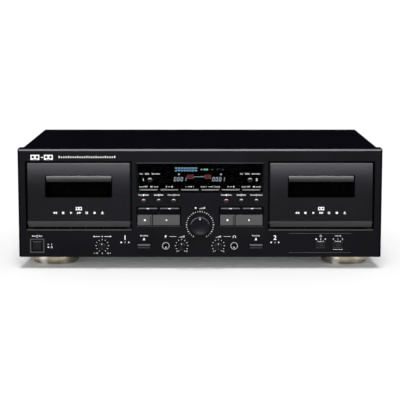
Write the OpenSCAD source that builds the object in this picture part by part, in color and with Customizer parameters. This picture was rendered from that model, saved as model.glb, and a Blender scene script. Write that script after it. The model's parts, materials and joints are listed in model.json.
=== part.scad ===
// Double cassette deck: a moulded front panel with two hinged cassette bays, a sheet-steel case,
// and the tape transports, boards and transformer inside.
// Millimetres. X runs to the right seen from the front, Y to the rear, Z up from the floor.

/* [Case] */
// Width of the front panel
case_w = 435; // [430:1:450]
// Height of the front panel
panel_h = 130; // [126:0.5:140]
// Depth from the front panel's face to the rear panel's face
case_d = 266; // [250:1:300]
// Depth of the front panel's rim
rim_d = 26; // [25:0.5:30]
// Wall of the front panel
panel_t = 3; // [2.6:0.1:3.4]
// Wall of the front panel's rim
rim_t = 2.5; // [2.2:0.1:3]
// Chamfer along the front panel's top and side edges
edge_chamfer = 2.5; // [1:0.1:3]
// How far the cover's sides stand in from the front panel's sides
cover_inset = 2; // [1.4:0.1:2.1]
// Thickness of the steel cover
cover_t = 1; // [0.8:0.1:1.4]
// Thickness of the steel chassis and rear panel
sheet_t = 1.2; // [1:0.1:1.6]
// Height of the chassis's side flanges
flange_h = 34; // [28:1:45]

/* [Feet] */
// Height of a foot with its pad
foot_h = 15; // [12:0.5:18]
// Diameter of a foot
foot_dia = 57; // [48:0.5:60]
// Height of the pad under a foot
pad_h = 1.5; // [1:0.1:2.5]
// Distance from the panel's side to a foot's axis
foot_side = 39; // [36:0.5:50]
// Distance from the panel's face to a front foot's axis
foot_front = 55; // [55:0.5:70]
// Distance from the rear panel's face to a rear foot's axis
foot_rear = 46; // [36:0.5:60]

/* [Cassette bays] */
// Width of a cassette door
door_w = 122; // [119:0.5:124]
// Height of a cassette door
door_h = 77.2; // [75:0.1:81]
// Gap around a cassette door
door_gap = 1.8; // [1.5:0.1:2]
// Thickness of a cassette door
door_t = 4.5; // [4:0.1:5]
// Height of the bevel along a door's lower edge
door_lip = 7.8; // [6:0.1:9]
// How far a door's upper edge curves back
door_lean = 2.4; // [1.5:0.1:3]
// Height of a bay's opening above the panel's lower edge
bay_rise = 34; // [33:0.5:38]
// Distance from the panel's side to a bay's opening
side_margin = 9.7; // [9:0.1:11]
// Distance from a bay's opening to the display window
bay_margin = 7.4; // [7:0.1:9]
// Width of a door's window
window_w = 80.4; // [70:0.2:90]
// Height of a door's window
window_h = 27.2; // [22:0.2:30]
// Height of a door's window above the door's lower edge
window_rise = 36.3; // [32:0.1:40]

/* [Cassette] */
// Width of the cassette that a bay takes
cassette_w = 100.4; // [99:0.1:102]
// Height of the cassette
cassette_h = 63.8; // [62:0.1:65]
// Thickness of the cassette at its thick edge
cassette_t = 12; // [11.5:0.1:12.6]
// Height of the cassette's lower edge above the door's lower edge
cassette_rise = 8; // [7.5:0.1:9]
// Distance between the reel axes
reel_pitch = 42.5; // [41:0.1:44]
// Height of the reel axes above the cassette's lower edge
reel_rise = 34; // [32:0.1:36]

/* [Transport] */
// Wall of the moulded cassette well
well_t = 2; // [1.6:0.1:2.4]
// Radius of a reel hub's spindle
spindle_r = 3.4; // [3:0.1:3.6]
// Reach of a reel hub's splines from its axis
spline_r = 4.7; // [4.4:0.1:5]
// Radius of a reel hub's table
table_r = 11; // [9:0.2:13]
// Radius of the capstan shaft
capstan_r = 1.25; // [1:0.05:1.5]
// Sideways place of the capstan from the bay's middle
capstan_side = 19; // [17:0.5:22]
// Height of the capstan above the cassette's lower edge
capstan_rise = 7.5; // [7:0.1:9]
// Radius of the flywheel
flywheel_r = 29; // [24:0.5:31]
// Radius of the pinch roller
roller_r = 5.5; // [4.5:0.1:6]
// Upward travel of the head carriage
carriage_travel = 5; // [3:0.5:5]
// Radius of the drive motor
motor_r = 14; // [12:0.5:16]

/* [Keys] */
// Height of the stop and play keys above the panel's lower edge
key_rise = 38.8; // [37:0.1:40]
// Height of a stop or play key
play_h = 12.8; // [11:0.1:14]
// Width of a stop key
stop_w = 17.6; // [14:0.1:22]
// Height of a rewind or fast-forward key
wind_h = 7.6; // [6:0.1:8.5]
// Gap between neighbouring keys
key_gap = 0.8; // [0.6:0.1:1]
// Distance from the middle line to the key block
key_in = 24; // [23:0.1:27]
// How far a key stands out of the panel
key_out = 2.6; // [2:0.1:3]
// Distance from the key block's end to the nearest round button
round_in = 7.4; // [6:0.1:9]
// Radius of a record, pause or mute button
round_r = 2.5; // [2:0.1:3]
// Height of the round buttons above the key block
round_rise = 8; // [7:0.1:9]
// Width of an eject button
eject_w = 15.2; // [12:0.1:18]
// Height of an eject button
eject_h = 4.8; // [4:0.1:6]
// Side of the square power button
power_w = 10.3; // [8:0.1:11]
// Travel of the keys and small buttons
key_travel = 1; // [0.6:0.1:1.4]
// Travel of the eject buttons
eject_travel = 4; // [2:0.5:5]
// Travel of the power button
power_travel = 3; // [2:0.5:4]
// Clearance between a button and its hole
button_fit = 0.3; // [0.2:0.05:0.35]

/* [Display] */
// Height of the display window
display_h = 33.6; // [32:0.2:36]
// Height of the display window above the round buttons
display_rise = 10.8; // [10:0.1:12]
// Thickness of the display window
lens_t = 1.8; // [1.4:0.1:2]
// Bevel around the display's opening
display_bevel = 2; // [1:0.1:2.2]
// Height of the mode keys above the display's lower edge
mode_rise = 1.9; // [1.8:0.1:2.4]
// Height of a mode key
mode_h = 2; // [1.6:0.1:2.2]
// Gap between neighbouring mode keys
mode_gap = 2.5; // [2:0.1:5]
// Radius of a counter reset button
reset_r = 2.65; // [2:0.05:3]
// Height of the counter buttons above the display's lower edge
reset_rise = 14.2; // [12:0.1:18]
// Distance of the counter buttons from the display's end
reset_in = 15; // [12:0.5:18]

/* [Knobs and jacks] */
// Height of the lower row of controls above the panel's lower edge
low_rise = 13.8; // [13:0.1:15]
// Radius of the record level knob
level_r = 11.5; // [9:0.1:13]
// How far the record level knob stands out
knob_out = 14; // [11:0.5:18]
// Height of the record level knob above the panel's lower edge
level_rise = 39; // [38:0.1:40]
// Radius of the three small knobs
small_r = 4.4; // [3.6:0.1:5]
// How far a small knob stands out
small_out = 8.5; // [6:0.5:11]
// Share of the lower row's free width between an eject button and its jack
jack_share = 0.333; // [0.25:0.005:0.4]
// Share of the lower row's free width between a jack and its knob
knob_share = 0.209; // [0.15:0.005:0.3]
// Diameter of the plug that a jack takes
plug_dia = 6.35; // [6:0.05:6.5]
// Distance of the pitch knob from the bay's middle
pitch_in = 27.6; // [20:0.1:40]
// Distance of the power button from the panel's side
power_side = 22; // [20:0.1:24]
// Distance between the two slide switches
switch_pitch = 20.6; // [20:0.1:24]
// Travel of a slide switch to each side
switch_travel = 3.2; // [2:0.1:3.6]

/* [Rear] */
// Radius of a phono socket's sleeve
phono_r = 4.15; // [4:0.05:4.3]
// Distance between neighbouring phono sockets
phono_pitch = 16; // [14:0.5:20]
// How far the phono sockets stand out
socket_out = 9; // [8:0.5:12]

/* [Hidden] */
$fn = 72;
// Overlap that makes a cut go right through
over = 1;
// Radial clearance of a shaft that turns in a hole
run_fit = 0.05;
// Clearance between parts that slide past each other
slide_fit = 0.3;
// Clearance between parts fastened together
seat_fit = 0.2;
// Hairline between parts that sit face to face, so that each stays a solid of its own
seam = 0.05;

// Case
base_z = foot_h;
top_z = base_z + panel_h;
cover_w = case_w - 2 * cover_inset;
cover_drop = 0.5;
cover_bend = 3;
cover_top = top_z - cover_drop;
tray_w = cover_w - 2 * cover_t - 2 * seat_fit;
total_d = knob_out + case_d + socket_out;
front_y = knob_out - total_d / 2;
foot_x = case_w / 2 - foot_side;
foot_bore_r = 2.2;
foot_recess_r = 11;
screw_r = 1.6;
screw_head_r = 3.4;
side_screw_z = base_z + 22;
side_screw_v = [rim_d + 34, case_d - 34];
rear_screw_x = tray_w / 2 - 14;

// Bays
opening_w = door_w + 2 * door_gap;
opening_h = door_h + 2 * door_gap;
opening_z0 = base_z + bay_rise;
opening_z1 = opening_z0 + opening_h;
bay_x = case_w / 2 - side_margin - opening_w / 2;
door_z0 = opening_z0 + door_gap;
door_z1 = door_z0 + door_h;
door_bend_z = door_z0 + door_h * 0.52;
lip_back = door_t - 0.6;
window_z = door_z0 + window_rise + window_h / 2;
pane_back = 1.2;
pane_lip = 2;
pane_lip_t = 1.2;
web_t = 1.4;
cassette_z0 = door_z0 + cassette_rise;
cassette_v0 = door_t + web_t + 0.2;
cassette_v1 = cassette_v0 + cassette_t + 0.2;
holder_lip_t = 1.2;
holder_in = cassette_w / 2 + 0.5;
holder_t = 1.6;
holder_v1 = cassette_v1 + holder_lip_t;
holder_foot = 3.4;
holder_drop = 14;
shelf_gap = 0.3;
shelf_t = 1.5;
shelf_end = 37;
web_drop = 7;
pane_gap = 0.6;
hook_w = 4;
hook_rise = 8;
well_v = holder_v1 + 1.8;
sump = 4;
well_z0 = opening_z0 - sump;
well_z1 = opening_z1;
well_lip = 3;
pivot_v = door_t + 7.5;
pivot_z = door_z0 + 3.5;
pivot_r = 2;
pivot_boss_r = 4.2;
pivot_boss_x = holder_in + holder_t + 2.2;
pivot_end_x = opening_w / 2 - 2;

// Transports
reel_z = cassette_z0 + reel_rise;
reel_tip_v = cassette_v0 + 4.8;
table_t = 2;
reel_shaft_r = 2;
capstan_z = cassette_z0 + capstan_rise;
capstan_tip_v = cassette_v0 + 5;
capstan_boss_r = 3.6;
back_v = well_v + well_t;
flywheel_v0 = back_v + 2.5;
flywheel_t = 7;
belt_v = flywheel_v0 + 2.5;
belt_w = 2;
belt_t = 1;
belt_sink = 0.1;
groove_d = 1.4;
plate_v = flywheel_v0 + flywheel_t + 3;
plate_t = 1.5;
motor_side = 34;
motor_l = 24;
pulley_r = 4.5;
motor_shaft_r = 1;
carriage_t = 2;
carriage_v1 = well_v - slide_fit;
carriage_v0 = carriage_v1 - carriage_t;
carriage_z0 = well_z0 + 1;
carriage_h = carriage_travel + 6;
carriage_w = 66;
roller_z = capstan_z - capstan_r - carriage_travel - slide_fit - roller_r;
guide_r = 1.5;
guide_side = 28.5;
guide_gap = 0.15;
guide_z = carriage_z0 + carriage_travel + 3;
head_v0 = cassette_v0 + 2.4;
bracket_posts = [[-46, 20], [52, 26], [-6, 62]];
bracket_w = 114;
bracket_rise = 10;
bracket_h = 62;
motor_rise = 6;
pulley_room = 1.6;
pulley_lip = 0.9;

// Display and keys
display_w = 2 * (bay_x - opening_w / 2 - bay_margin);
key_z0 = base_z + key_rise;
wind_z0 = key_z0 + play_h + key_gap;
wind_z1 = wind_z0 + wind_h;
round_z = wind_z1 + round_rise;
display_z0 = round_z + display_rise;
display_z1 = display_z0 + display_h;
mode_z = display_z0 + mode_rise;
mode_pitch = (display_w - mode_gap) / 6;
mode_w = mode_pitch - mode_gap;
mode_out = 0.8;
mode_bevel = 0.3;
reset_z = display_z0 + reset_rise;
reset_x = display_w / 2 - reset_in;
lens_lip = 2.4;
lens_v0 = panel_t - lens_t;
lens_back = panel_t + 1.4;
block_w = display_w / 2 - key_in;
block_mid = (display_w / 2 + key_in) / 2;
round_pitch = (block_w - 2 * round_in) / 2;
key_lip = 1.2;
lip_t = 1.5;
lip_v0 = panel_t + slide_fit;
board_v = panel_t + 12;
board_t = 1.6;
tact_h = 4;
stem_end = board_v - tact_h - key_travel - 0.2;
stem_r = 1.4;
tube_gap = 13.8;
tube_w = 2 * (reset_x - tube_gap);
tube_h = 22;
tube_t = 7;
tube_z = display_z1 - 4 - tube_h / 2;

// Lower row
low_z = base_z + low_rise;
level_z = base_z + level_rise;
level_shaft_r = 3;
small_shaft_r = 2;
knob_lift = 0.8;
pot_w = 15;
pot_t = 8;
small_pot_w = 10;
pot_depth = 5;
shaft_short = pot_t - pot_depth + 0.5;
level_mark_w = 1.2;
small_mark_w = 0.9;
low_board_v = panel_t + 10;
eject_x = display_w / 2 - eject_w / 2;
eject_end = rim_d - 6;
power_x = -case_w / 2 + power_side;
bezel_w = power_w + 7;
bezel_t = 1.8;
bezel_out = 0.8;
pitch_x = -(bay_x - pitch_in);
switch_z = low_z + 0.6;
switch_slot_w = 2 * switch_travel + 5.2;
switch_slot_h = 6.5;
switch_knob_w = 4;
switch_plate_w = switch_slot_w;
shelf_w = 75;
shelf_h = 22.8;
shelf_z = base_z + 17;
shelf_d = 0.6;
jack_bore_r = plug_dia / 2 + 0.15;
jack_neck_r = jack_bore_r + 0.8;
jack_ring_r = jack_bore_r + 1.5;
jack_ring_t = 1.6;
jack_body_w = 12.5;
jack_body_v = panel_t + 21;
jack_bore_end = jack_body_v - 2;
row_free = display_w / 2 - eject_w - jack_body_w - small_pot_w;
jack_x = display_w / 2 - eject_w - jack_share * row_free - jack_body_w / 2;
small_x = jack_x - jack_body_w / 2 - knob_share * row_free - small_pot_w / 2;
low_post_x = (small_x - small_pot_w / 2) / 2;
post_r = 3;
small_post_r = 2.5;
key_post_x = 15;
level_post_drop = 2;
pitch_post_x = 10;
power_post_x = 11.5;
switch_post_z = 9;
level_board_h = 18;
level_board_end = 7;
pitch_board_w = 28;
pitch_board_h = 16;
switch_board_end = 11;
switch_board_h = 22;
switch_body_w = 15;
switch_body_h = 8;
switch_body_v = panel_t + 3.2;
power_board_w = 28;
power_body_w = 14;
power_body_t = 9;
tact_w = 5;
tact_r = 1.5;

// Rear
rear_v = case_d - sheet_t;
socket_x = 120;
socket_z = base_z + 72;
socket_plate_t = 2;
phono_bore_r = 1.7;
inlet_x = -150;
inlet_z = base_z + 40;
inlet_w = 26;
inlet_h = 17;
inlet_depth = 12;
inlet_flange_x = 3;
inlet_flange_z = 2;
inlet_rim = 3.5;
inlet_floor = 3;
inlet_neck = 1;
inlet_pin_x = 4.3;
inlet_pin_r = 1.15;
socket_edge = 3;
sleeve_step = 0.6;
sleeve_gap = 0.1;
sleeve_end = rear_v - 6;
sleeve_floor = 1;
rear_hole_gap = 1;

// Boards
board_lift = 10;
board_left = 70;
board_side = 14;
board_front = 105;
board_rear = 18;
board_z = base_z + sheet_t + board_lift;
board_x0 = -board_left;
board_x1 = tray_w / 2 - board_side;
board_y0 = board_front;
board_y1 = case_d - board_rear;
board_top = board_z + board_t;
can_r = 8;
can_h = 30;
can_pitch = 22;
can_place = [26, 34];
small_can_r = 3.4;
small_can_h = 12;
small_can_pitch = 14;
small_can_place = [120, 26];
chip_w = 18;
chip_d = 8;
chip_h = 4;
chip_pitch = 26;
chip_place = [112, 62];
sink_w = 70;
sink_t = 4;
sink_h = 36;
sink_place = [20, 74];
fin_t = 2;
fin_d = 18;
fin_count = 8;
fin_pitch = (sink_w - fin_t) / (fin_count - 1);
trafo_side = 62;
trafo_rear = 92;
trafo_x = -tray_w / 2 + trafo_side;
trafo_v = case_d - trafo_rear;
trafo_base_w = 84;
trafo_base_d = 40;
trafo_base_t = 2;
trafo_h = 54;
core_w = 66;
core_d = 28;
coil_w = 42;
coil_d = 38;

// Where things stand. A deck is -1 for the left bay and 1 for the right one.
function block_x0(deck) = deck * block_mid - block_w / 2;
function block_x1(deck) = deck * block_mid + block_w / 2;
function stop_x1(deck) = block_x0(deck) + stop_w;
function round_x(deck, place) = deck * block_mid + (place - 1) * round_pitch;
function mode_x(place) = (place - 2.5) * mode_pitch;
function bay_key_x(deck, place) = block_x0(deck) + (place + 0.5) * block_w / 2;
function switch_x(place) = bay_x + place * switch_pitch;

// Draws a front-view outline (X, Z) and gives it depth between two distances behind the panel's face.
module slab(v0, v1) {
    translate([0, front_y + v1, 0]) rotate([90, 0, 0]) linear_extrude(v1 - v0) children();
}

// Draws a side-view outline (distance behind the face, Z) and gives it width between two places.
module along_x(x0, x1) {
    translate([x0, front_y, 0]) rotate([90, 0, 90]) linear_extrude(x1 - x0) children();
}

// Draws a plan outline (X, distance behind the face) and gives it height between two levels.
module along_z(z0, z1) {
    translate([0, front_y, z0]) linear_extrude(z1 - z0) children();
}

// A round rod or hole that runs from front to back.
module rod(x, z, r, v0, v1) {
    translate([x, front_y + v0, z]) rotate([-90, 0, 0]) cylinder(r = r, h = v1 - v0);
}

// A round rod or hole that narrows from front to back or back to front.
module cone(x, z, r0, r1, v0, v1) {
    translate([x, front_y + v0, z]) rotate([-90, 0, 0]) cylinder(r1 = r0, r2 = r1, h = v1 - v0);
}

// A round rod or hole that runs from left to right.
module cross_rod(v, z, r, x0, x1) {
    translate([x0, front_y + v, z]) rotate([0, 90, 0]) cylinder(r = r, h = x1 - x0);
}

// A rectangle between two corners.
module box2(x0, x1, z0, z1) {
    translate([x0, z0]) square([x1 - x0, z1 - z0]);
}

// A rectangle about a middle.
module mid_box(x, z, w, h) {
    translate([x, z]) square([w, h], center = true);
}

// A rectangle with round corners about a middle.
module round_box(x, z, w, h, r) {
    translate([x, z]) {
        square([w - 2 * r, h], center = true);
        square([w, h - 2 * r], center = true);
        for (sx = [-1, 1], sz = [-1, 1])
            translate([sx * (w / 2 - r), sz * (h / 2 - r)]) circle(r);
    }
}

// A slot with round ends that stands upright.
module tall_slot(x, z, r, length) {
    mid_box(x, z, 2 * r, length);
    for (end = [-1, 1])
        translate([x, z + end * length / 2]) circle(r);
}

// The funnel that a bevel leaves around an opening.
module bevel_cut(x0, x1, z0, z1, side, low, high, depth) {
    intersection() {
        along_z(z0 - low - over, z1 + high + over)
            polygon([[x0 - side, 0], [x0 - side, -over], [x1 + side, -over], [x1 + side, 0],
                [x1, depth], [x0, depth]]);
        along_x(x0 - side - over, x1 + side + over)
            polygon([[0, z0 - low], [-over, z0 - low], [-over, z1 + high], [0, z1 + high],
                [depth, z1], [depth, z0]]);
    }
}

// A key's cap with a bevelled front, from its face to a depth behind the panel's face.
module key_cap(x0, x1, z0, z1, out, depth, bevel, top_bevel) {
    intersection() {
        along_z(z0 - over, z1 + over)
            polygon([[x0, depth], [x0, bevel - out], [x0 + bevel, -out], [x1 - bevel, -out],
                [x1, bevel - out], [x1, depth]]);
        along_x(x0 - over, x1 + over)
            polygon([[depth, z0], [bevel - out, z0], [-out, z0 + bevel], [-out, z1 - top_bevel],
                [top_bevel - out, z1], [depth, z1]]);
    }
}

module front_panel() {
    color("#1b1b1f") difference() {
        union() {
            difference() {
                panel_block();
                panel_hollow();
            }
            power_bezel();
            panel_posts();
        }
        panel_cuts();
    }
}

module panel_block() {
    intersection() {
        along_x(-case_w / 2 - over, case_w / 2 + over)
            polygon([[0, base_z], [rim_d, base_z], [rim_d, top_z], [edge_chamfer, top_z],
                [0, top_z - edge_chamfer]]);
        along_z(base_z - over, top_z + over)
            polygon([[-case_w / 2, rim_d], [-case_w / 2, edge_chamfer], [edge_chamfer - case_w / 2, 0],
                [case_w / 2 - edge_chamfer, 0], [case_w / 2, edge_chamfer], [case_w / 2, rim_d]]);
    }
}

module panel_hollow() {
    slab(panel_t, rim_d + over)
        box2(rim_t - case_w / 2, case_w / 2 - rim_t, base_z + rim_t, top_z - rim_t);
}

module power_bezel() {
    slab(-bezel_out, over) difference() {
        mid_box(power_x, low_z, bezel_w, bezel_w);
        mid_box(power_x, low_z, bezel_w - 2 * bezel_t, bezel_w - 2 * bezel_t);
    }
}

// Posts behind the panel that carry the control boards.
module panel_posts() {
    for (side = [-1, 1]) {
        rod(side * key_post_x, round_z, post_r, panel_t - over, board_v);
        rod(side * key_post_x, level_z - level_post_drop, post_r, panel_t - over, board_v);
        rod(side * low_post_x, low_z, post_r, panel_t - over, low_board_v);
        rod(pitch_x + side * pitch_post_x, low_z, small_post_r, panel_t - over, low_board_v);
        rod(power_x + side * power_post_x, low_z, small_post_r, panel_t - over, board_v);
        rod(switch_x(0.5), switch_z + side * switch_post_z, small_post_r, panel_t - over, low_board_v);
    }
}

module panel_cuts() {
    for (deck = [-1, 1]) {
        bay_cut(deck);
        key_well_cut(deck);
        for (place = [0:2])
            rod(round_x(deck, place), round_z, round_r + button_fit, -over, panel_t + over);
        slab(-over, panel_t + over)
            mid_box(deck * eject_x, low_z, eject_w + 2 * button_fit, eject_h + 2 * button_fit);
        rod(deck * jack_x, low_z, jack_neck_r + seat_fit, -over, panel_t + over);
        rod(deck * small_x, low_z, small_shaft_r + 0.6, -over, panel_t + over);
    }
    display_cut();
    rod(0, level_z, level_shaft_r + 0.6, -over, panel_t + over);
    rod(pitch_x, low_z, small_shaft_r + 0.6, -over, panel_t + over);
    slab(-bezel_out - over, panel_t + over)
        mid_box(power_x, low_z, power_w + 2 * button_fit, power_w + 2 * button_fit);
    slab(-over, shelf_d) mid_box(bay_x - 1, shelf_z, shelf_w, shelf_h);
    for (place = [0, 1])
        slab(-over, panel_t + over) mid_box(switch_x(place), switch_z, switch_slot_w, switch_slot_h);
}

module bay_cut(deck) {
    x0 = deck * bay_x - opening_w / 2;
    x1 = deck * bay_x + opening_w / 2;
    slab(-over, panel_t + over) box2(x0, x1, opening_z0, opening_z1);
    bevel_cut(x0, x1, opening_z0, opening_z1, 1, 2, 1, 2);
}

module key_well_cut(deck) {
    x0 = block_x0(deck) - button_fit;
    x1 = block_x1(deck) + button_fit;
    z0 = key_z0 - button_fit;
    z1 = wind_z1 + button_fit;
    slab(-over, panel_t + over) box2(x0, x1, z0, z1);
    bevel_cut(x0, x1, z0, z1, 1, 1.8, 1, 1);
}

module display_cut() {
    x1 = display_w / 2;
    slab(-over, panel_t + over) box2(-x1, x1, display_z0, display_z1);
    bevel_cut(-x1, x1, display_z0, display_z1, display_bevel, 1, display_bevel, lens_v0);
}

module display_window() {
    color("#0a0a0c") difference() {
        union() {
            slab(lens_v0, panel_t + over / 2)
                box2(seat_fit - display_w / 2, display_w / 2 - seat_fit,
                    display_z0 + seat_fit, display_z1 - seat_fit);
            slab(panel_t, lens_back)
                box2(-display_w / 2 - lens_lip, display_w / 2 + lens_lip,
                    display_z0 - lens_lip, display_z1 + lens_lip);
        }
        for (place = [0:5])
            slab(-over, lens_back + over)
                mid_box(mode_x(place), mode_z, mode_w + 2 * button_fit, mode_h + 2 * button_fit);
        for (side = [-1, 1])
            rod(side * reset_x, reset_z, reset_r + button_fit, -over, lens_back + over);
    }
}

module top_cover() {
    color("#121214") difference() {
        slab(rim_d, case_d) difference() {
            cover_outline(cover_w, cover_top, cover_bend);
            cover_outline(cover_w - 2 * cover_t, cover_top - cover_t, cover_bend - cover_t);
        }
        for (v = side_screw_v)
            cross_rod(v, side_screw_z, screw_r + seat_fit, -case_w / 2, case_w / 2);
    }
}

// The cover's outline from the panel's lower edge to its top, with round upper corners.
module cover_outline(w, top, r) {
    box2(-w / 2, w / 2, base_z, top - r);
    box2(r - w / 2, w / 2 - r, base_z, top);
    for (side = [-1, 1])
        translate([side * (w / 2 - r), top - r]) circle(r);
}

module chassis() {
    length = rear_v - rim_d;
    color("#9a9da1") difference() {
        union() {
            along_z(base_z, base_z + sheet_t) translate([-tray_w / 2, rim_d]) square([tray_w, length]);
            along_z(base_z, base_z + 8) translate([-tray_w / 2, rim_d]) square([tray_w, sheet_t]);
            along_z(base_z, base_z + flange_h) for (side = [-1, 1])
                translate([side * (tray_w - sheet_t) / 2 - sheet_t / 2, rim_d]) square([sheet_t, length]);
            board_posts(3);
        }
        chassis_vents();
        foot_places() translate([0, 0, base_z - over]) cylinder(r = foot_bore_r, h = sheet_t + 2 * over);
        for (v = side_screw_v)
            cross_rod(v, side_screw_z, screw_r + seat_fit, -case_w / 2, case_w / 2);
    }
}

// Rows of vent slots in the tray below the transformer and below the main board.
module chassis_vents() {
    for (place = [0:8], row = [0, 1]) {
        along_z(base_z - over, base_z + sheet_t + over)
            translate([trafo_x + 22 + place * 10, case_d - 60 - row * 56]) round_box(0, 0, 4, 44, 1.9);
        along_z(base_z - over, base_z + sheet_t + over)
            translate([20 + place * 14, case_d - 60 - row * 56]) round_box(0, 0, 4, 44, 1.9);
    }
}

// Stand-offs between the tray and the main board.
module board_posts(r) {
    for (x = [board_x0 + 8, board_x1 - 8], v = [board_y0 + 8, board_y1 - 8])
        translate([x, front_y + v, base_z + sheet_t / 2]) cylinder(r = r, h = board_z - base_z - sheet_t / 2);
}

module foot_places() {
    for (side = [-1, 1], v = [foot_front, case_d - foot_rear])
        translate([side * foot_x, front_y + v, 0]) children();
}

module feet() {
    r = foot_dia / 2;
    color("#a29a83") foot_places() rotate_extrude()
        polygon([[foot_bore_r, foot_h], [r, foot_h], [r, foot_h * 0.72], [r - 0.8, foot_h * 0.66],
            [r - 3, pad_h + 1.6], [r - 4.2, pad_h], [foot_recess_r, pad_h], [foot_recess_r, foot_h - 6],
            [foot_bore_r, foot_h - 6]]);
    color("#26262a") foot_places() rotate_extrude()
        translate([foot_recess_r + 2, 0]) square([r - foot_recess_r - 8, pad_h - seam]);
}

module rear_panel() {
    color("#1a1a1d") slab(rear_v, case_d) difference() {
        cover_outline(tray_w, cover_top - cover_t - seat_fit, cover_bend - cover_t);
        mid_box(inlet_x, inlet_z, inlet_w - 2 * inlet_neck, inlet_h - 2 * inlet_neck);
        phono_places() circle(phono_r + rear_hole_gap);
        for (side = [-1, 1], z = [base_z + 10, cover_top - 12])
            translate([side * rear_screw_x, z]) circle(screw_r + seat_fit);
        for (place = [0:11])
            round_box(-30 + place * 8, base_z + 100, 3.2, 22, 1.5);
    }
}

module phono_places() {
    for (sx = [-0.5, 0.5], sz = [-0.5, 0.5])
        translate([socket_x + sx * phono_pitch, socket_z + sz * phono_pitch]) children();
}

// The phono block stands on the rear panel, and the inlet passes through it.
module rear_sockets() {
    color("#17171a") difference() {
        slab(case_d, case_d + socket_plate_t)
            mid_box(socket_x, socket_z, 2 * (phono_pitch + socket_edge), 2 * (phono_pitch + socket_edge));
        slab(case_d - over, case_d + socket_plate_t + over) phono_places() circle(phono_r - sleeve_step);
    }
    color("#c9c4b4") difference() {
        union() {
            slab(case_d + socket_plate_t + seam, case_d + socket_out) phono_places() circle(phono_r);
            slab(sleeve_end, case_d + socket_plate_t + over)
                phono_places() circle(phono_r - sleeve_step - sleeve_gap);
        }
        slab(sleeve_end + sleeve_floor, case_d + socket_out + over) phono_places() circle(phono_bore_r);
    }
    color("#141416") mains_inlet();
}

module mains_inlet() {
    neck_w = inlet_w - 2 * inlet_neck - 2 * seat_fit;
    neck_h = inlet_h - 2 * inlet_neck - 2 * seat_fit;
    difference() {
        union() {
            slab(case_d, case_d + socket_plate_t)
                mid_box(inlet_x, inlet_z, inlet_w + 2 * inlet_flange_x, inlet_h + 2 * inlet_flange_z);
            slab(case_d - inlet_depth - inlet_floor, case_d + over)
                mid_box(inlet_x, inlet_z, neck_w, neck_h);
        }
        slab(case_d - inlet_depth, case_d + socket_plate_t + over)
            mid_box(inlet_x, inlet_z, inlet_w - 2 * inlet_rim, inlet_h - 2 * inlet_rim);
    }
    for (side = [-1, 1])
        rod(inlet_x + side * inlet_pin_x, inlet_z, inlet_pin_r,
            case_d - inlet_depth, case_d - socket_plate_t);
}

module case_screws() {
    color("#35353a") {
        for (v = side_screw_v) {
            side_screw(v, -1);
            side_screw(v, 1);
        }
        for (side = [-1, 1], z = [base_z + 10, cover_top - 12])
            rear_screw(side * rear_screw_x, z);
        foot_places() foot_screw();
    }
}

module side_screw(v, side) {
    x = side * cover_w / 2;
    cross_rod(v, side_screw_z, screw_head_r, min(x, x + side * 1.7), max(x, x + side * 1.7));
    cross_rod(v, side_screw_z, screw_r, min(x + side * 0.5, x - side * 7), max(x + side * 0.5, x - side * 7));
}

module rear_screw(x, z) {
    rod(x, z, screw_head_r, case_d, case_d + 2);
    rod(x, z, screw_r, case_d - 7, case_d + 1);
}

module foot_screw() {
    translate([0, 0, foot_h - 6 - 3]) cylinder(r = 4.2, h = 3);
    translate([0, 0, foot_h - 7]) cylinder(r = foot_bore_r - seat_fit, h = sheet_t + 9);
}

module jack_sockets() {
    color("#b9bbbd") for (side = [-1, 1]) difference() {
        union() {
            rod(side * jack_x, low_z, jack_ring_r, -jack_ring_t, 0);
            rod(side * jack_x, low_z, jack_neck_r, -over, panel_t + over);
            slab(panel_t, jack_body_v) mid_box(side * jack_x, low_z, jack_body_w, jack_body_w);
        }
        rod(side * jack_x, low_z, jack_bore_r, -jack_ring_t - over, jack_bore_end);
    }
}

module control_boards() {
    key_board();
    display_tube();
    level_board();
    pitch_board();
    switch_board();
    power_switch();
}

// The big board behind the keys carries a small push switch behind each button.
module key_board() {
    color("#3d5a3a") difference() {
        union() {
            slab(board_v, board_v + board_t)
                box2(-display_w / 2 - 1, display_w / 2 + 1, level_z - 10, display_z1 - 2);
            slab(board_v - pot_t, board_v + over / 2) mid_box(0, level_z, pot_w, pot_w);
            for (deck = [-1, 1]) {
                tact((block_x0(deck) + stop_x1(deck)) / 2, key_z0 + play_h / 2);
                tact((stop_x1(deck) + key_gap + block_x1(deck)) / 2, key_z0 + play_h / 2);
                for (place = [0, 1])
                    tact(bay_key_x(deck, place), wind_z0 + wind_h / 2);
                for (place = [0:2])
                    tact(round_x(deck, place), round_z);
                tact(deck * reset_x, reset_z);
            }
            for (place = [0:5])
                tact(mode_x(place), mode_z);
        }
        rod(0, level_z, level_shaft_r + run_fit, board_v - pot_t - over, board_v - pot_t + pot_depth);
    }
}

module tact(x, z) {
    slab(board_v - tact_h + over, board_v + over / 2) mid_box(x, z, tact_w, tact_w);
    rod(x, z, tact_r, board_v - tact_h, board_v);
}

module display_tube() {
    color("#20262c") slab(board_v - tube_t, board_v - seam) mid_box(0, tube_z, tube_w, tube_h);
}

module level_board() {
    color("#3d5a3a") difference() {
        union() {
            slab(low_board_v, low_board_v + board_t) 
                mid_box(0, low_z, 2 * (small_x + level_board_end), level_board_h);
            for (side = [-1, 1])
                small_pot(side * small_x);
        }
        for (side = [-1, 1])
            small_pot_bore(side * small_x);
    }
}

module pitch_board() {
    color("#3d5a3a") difference() {
        union() {
            slab(low_board_v, low_board_v + board_t) 
                mid_box(pitch_x, low_z, pitch_board_w, pitch_board_h);
            small_pot(pitch_x);
        }
        small_pot_bore(pitch_x);
    }
}

module small_pot(x) {
    slab(low_board_v - pot_t, low_board_v + over / 2) mid_box(x, low_z, small_pot_w, small_pot_w);
}

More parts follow.
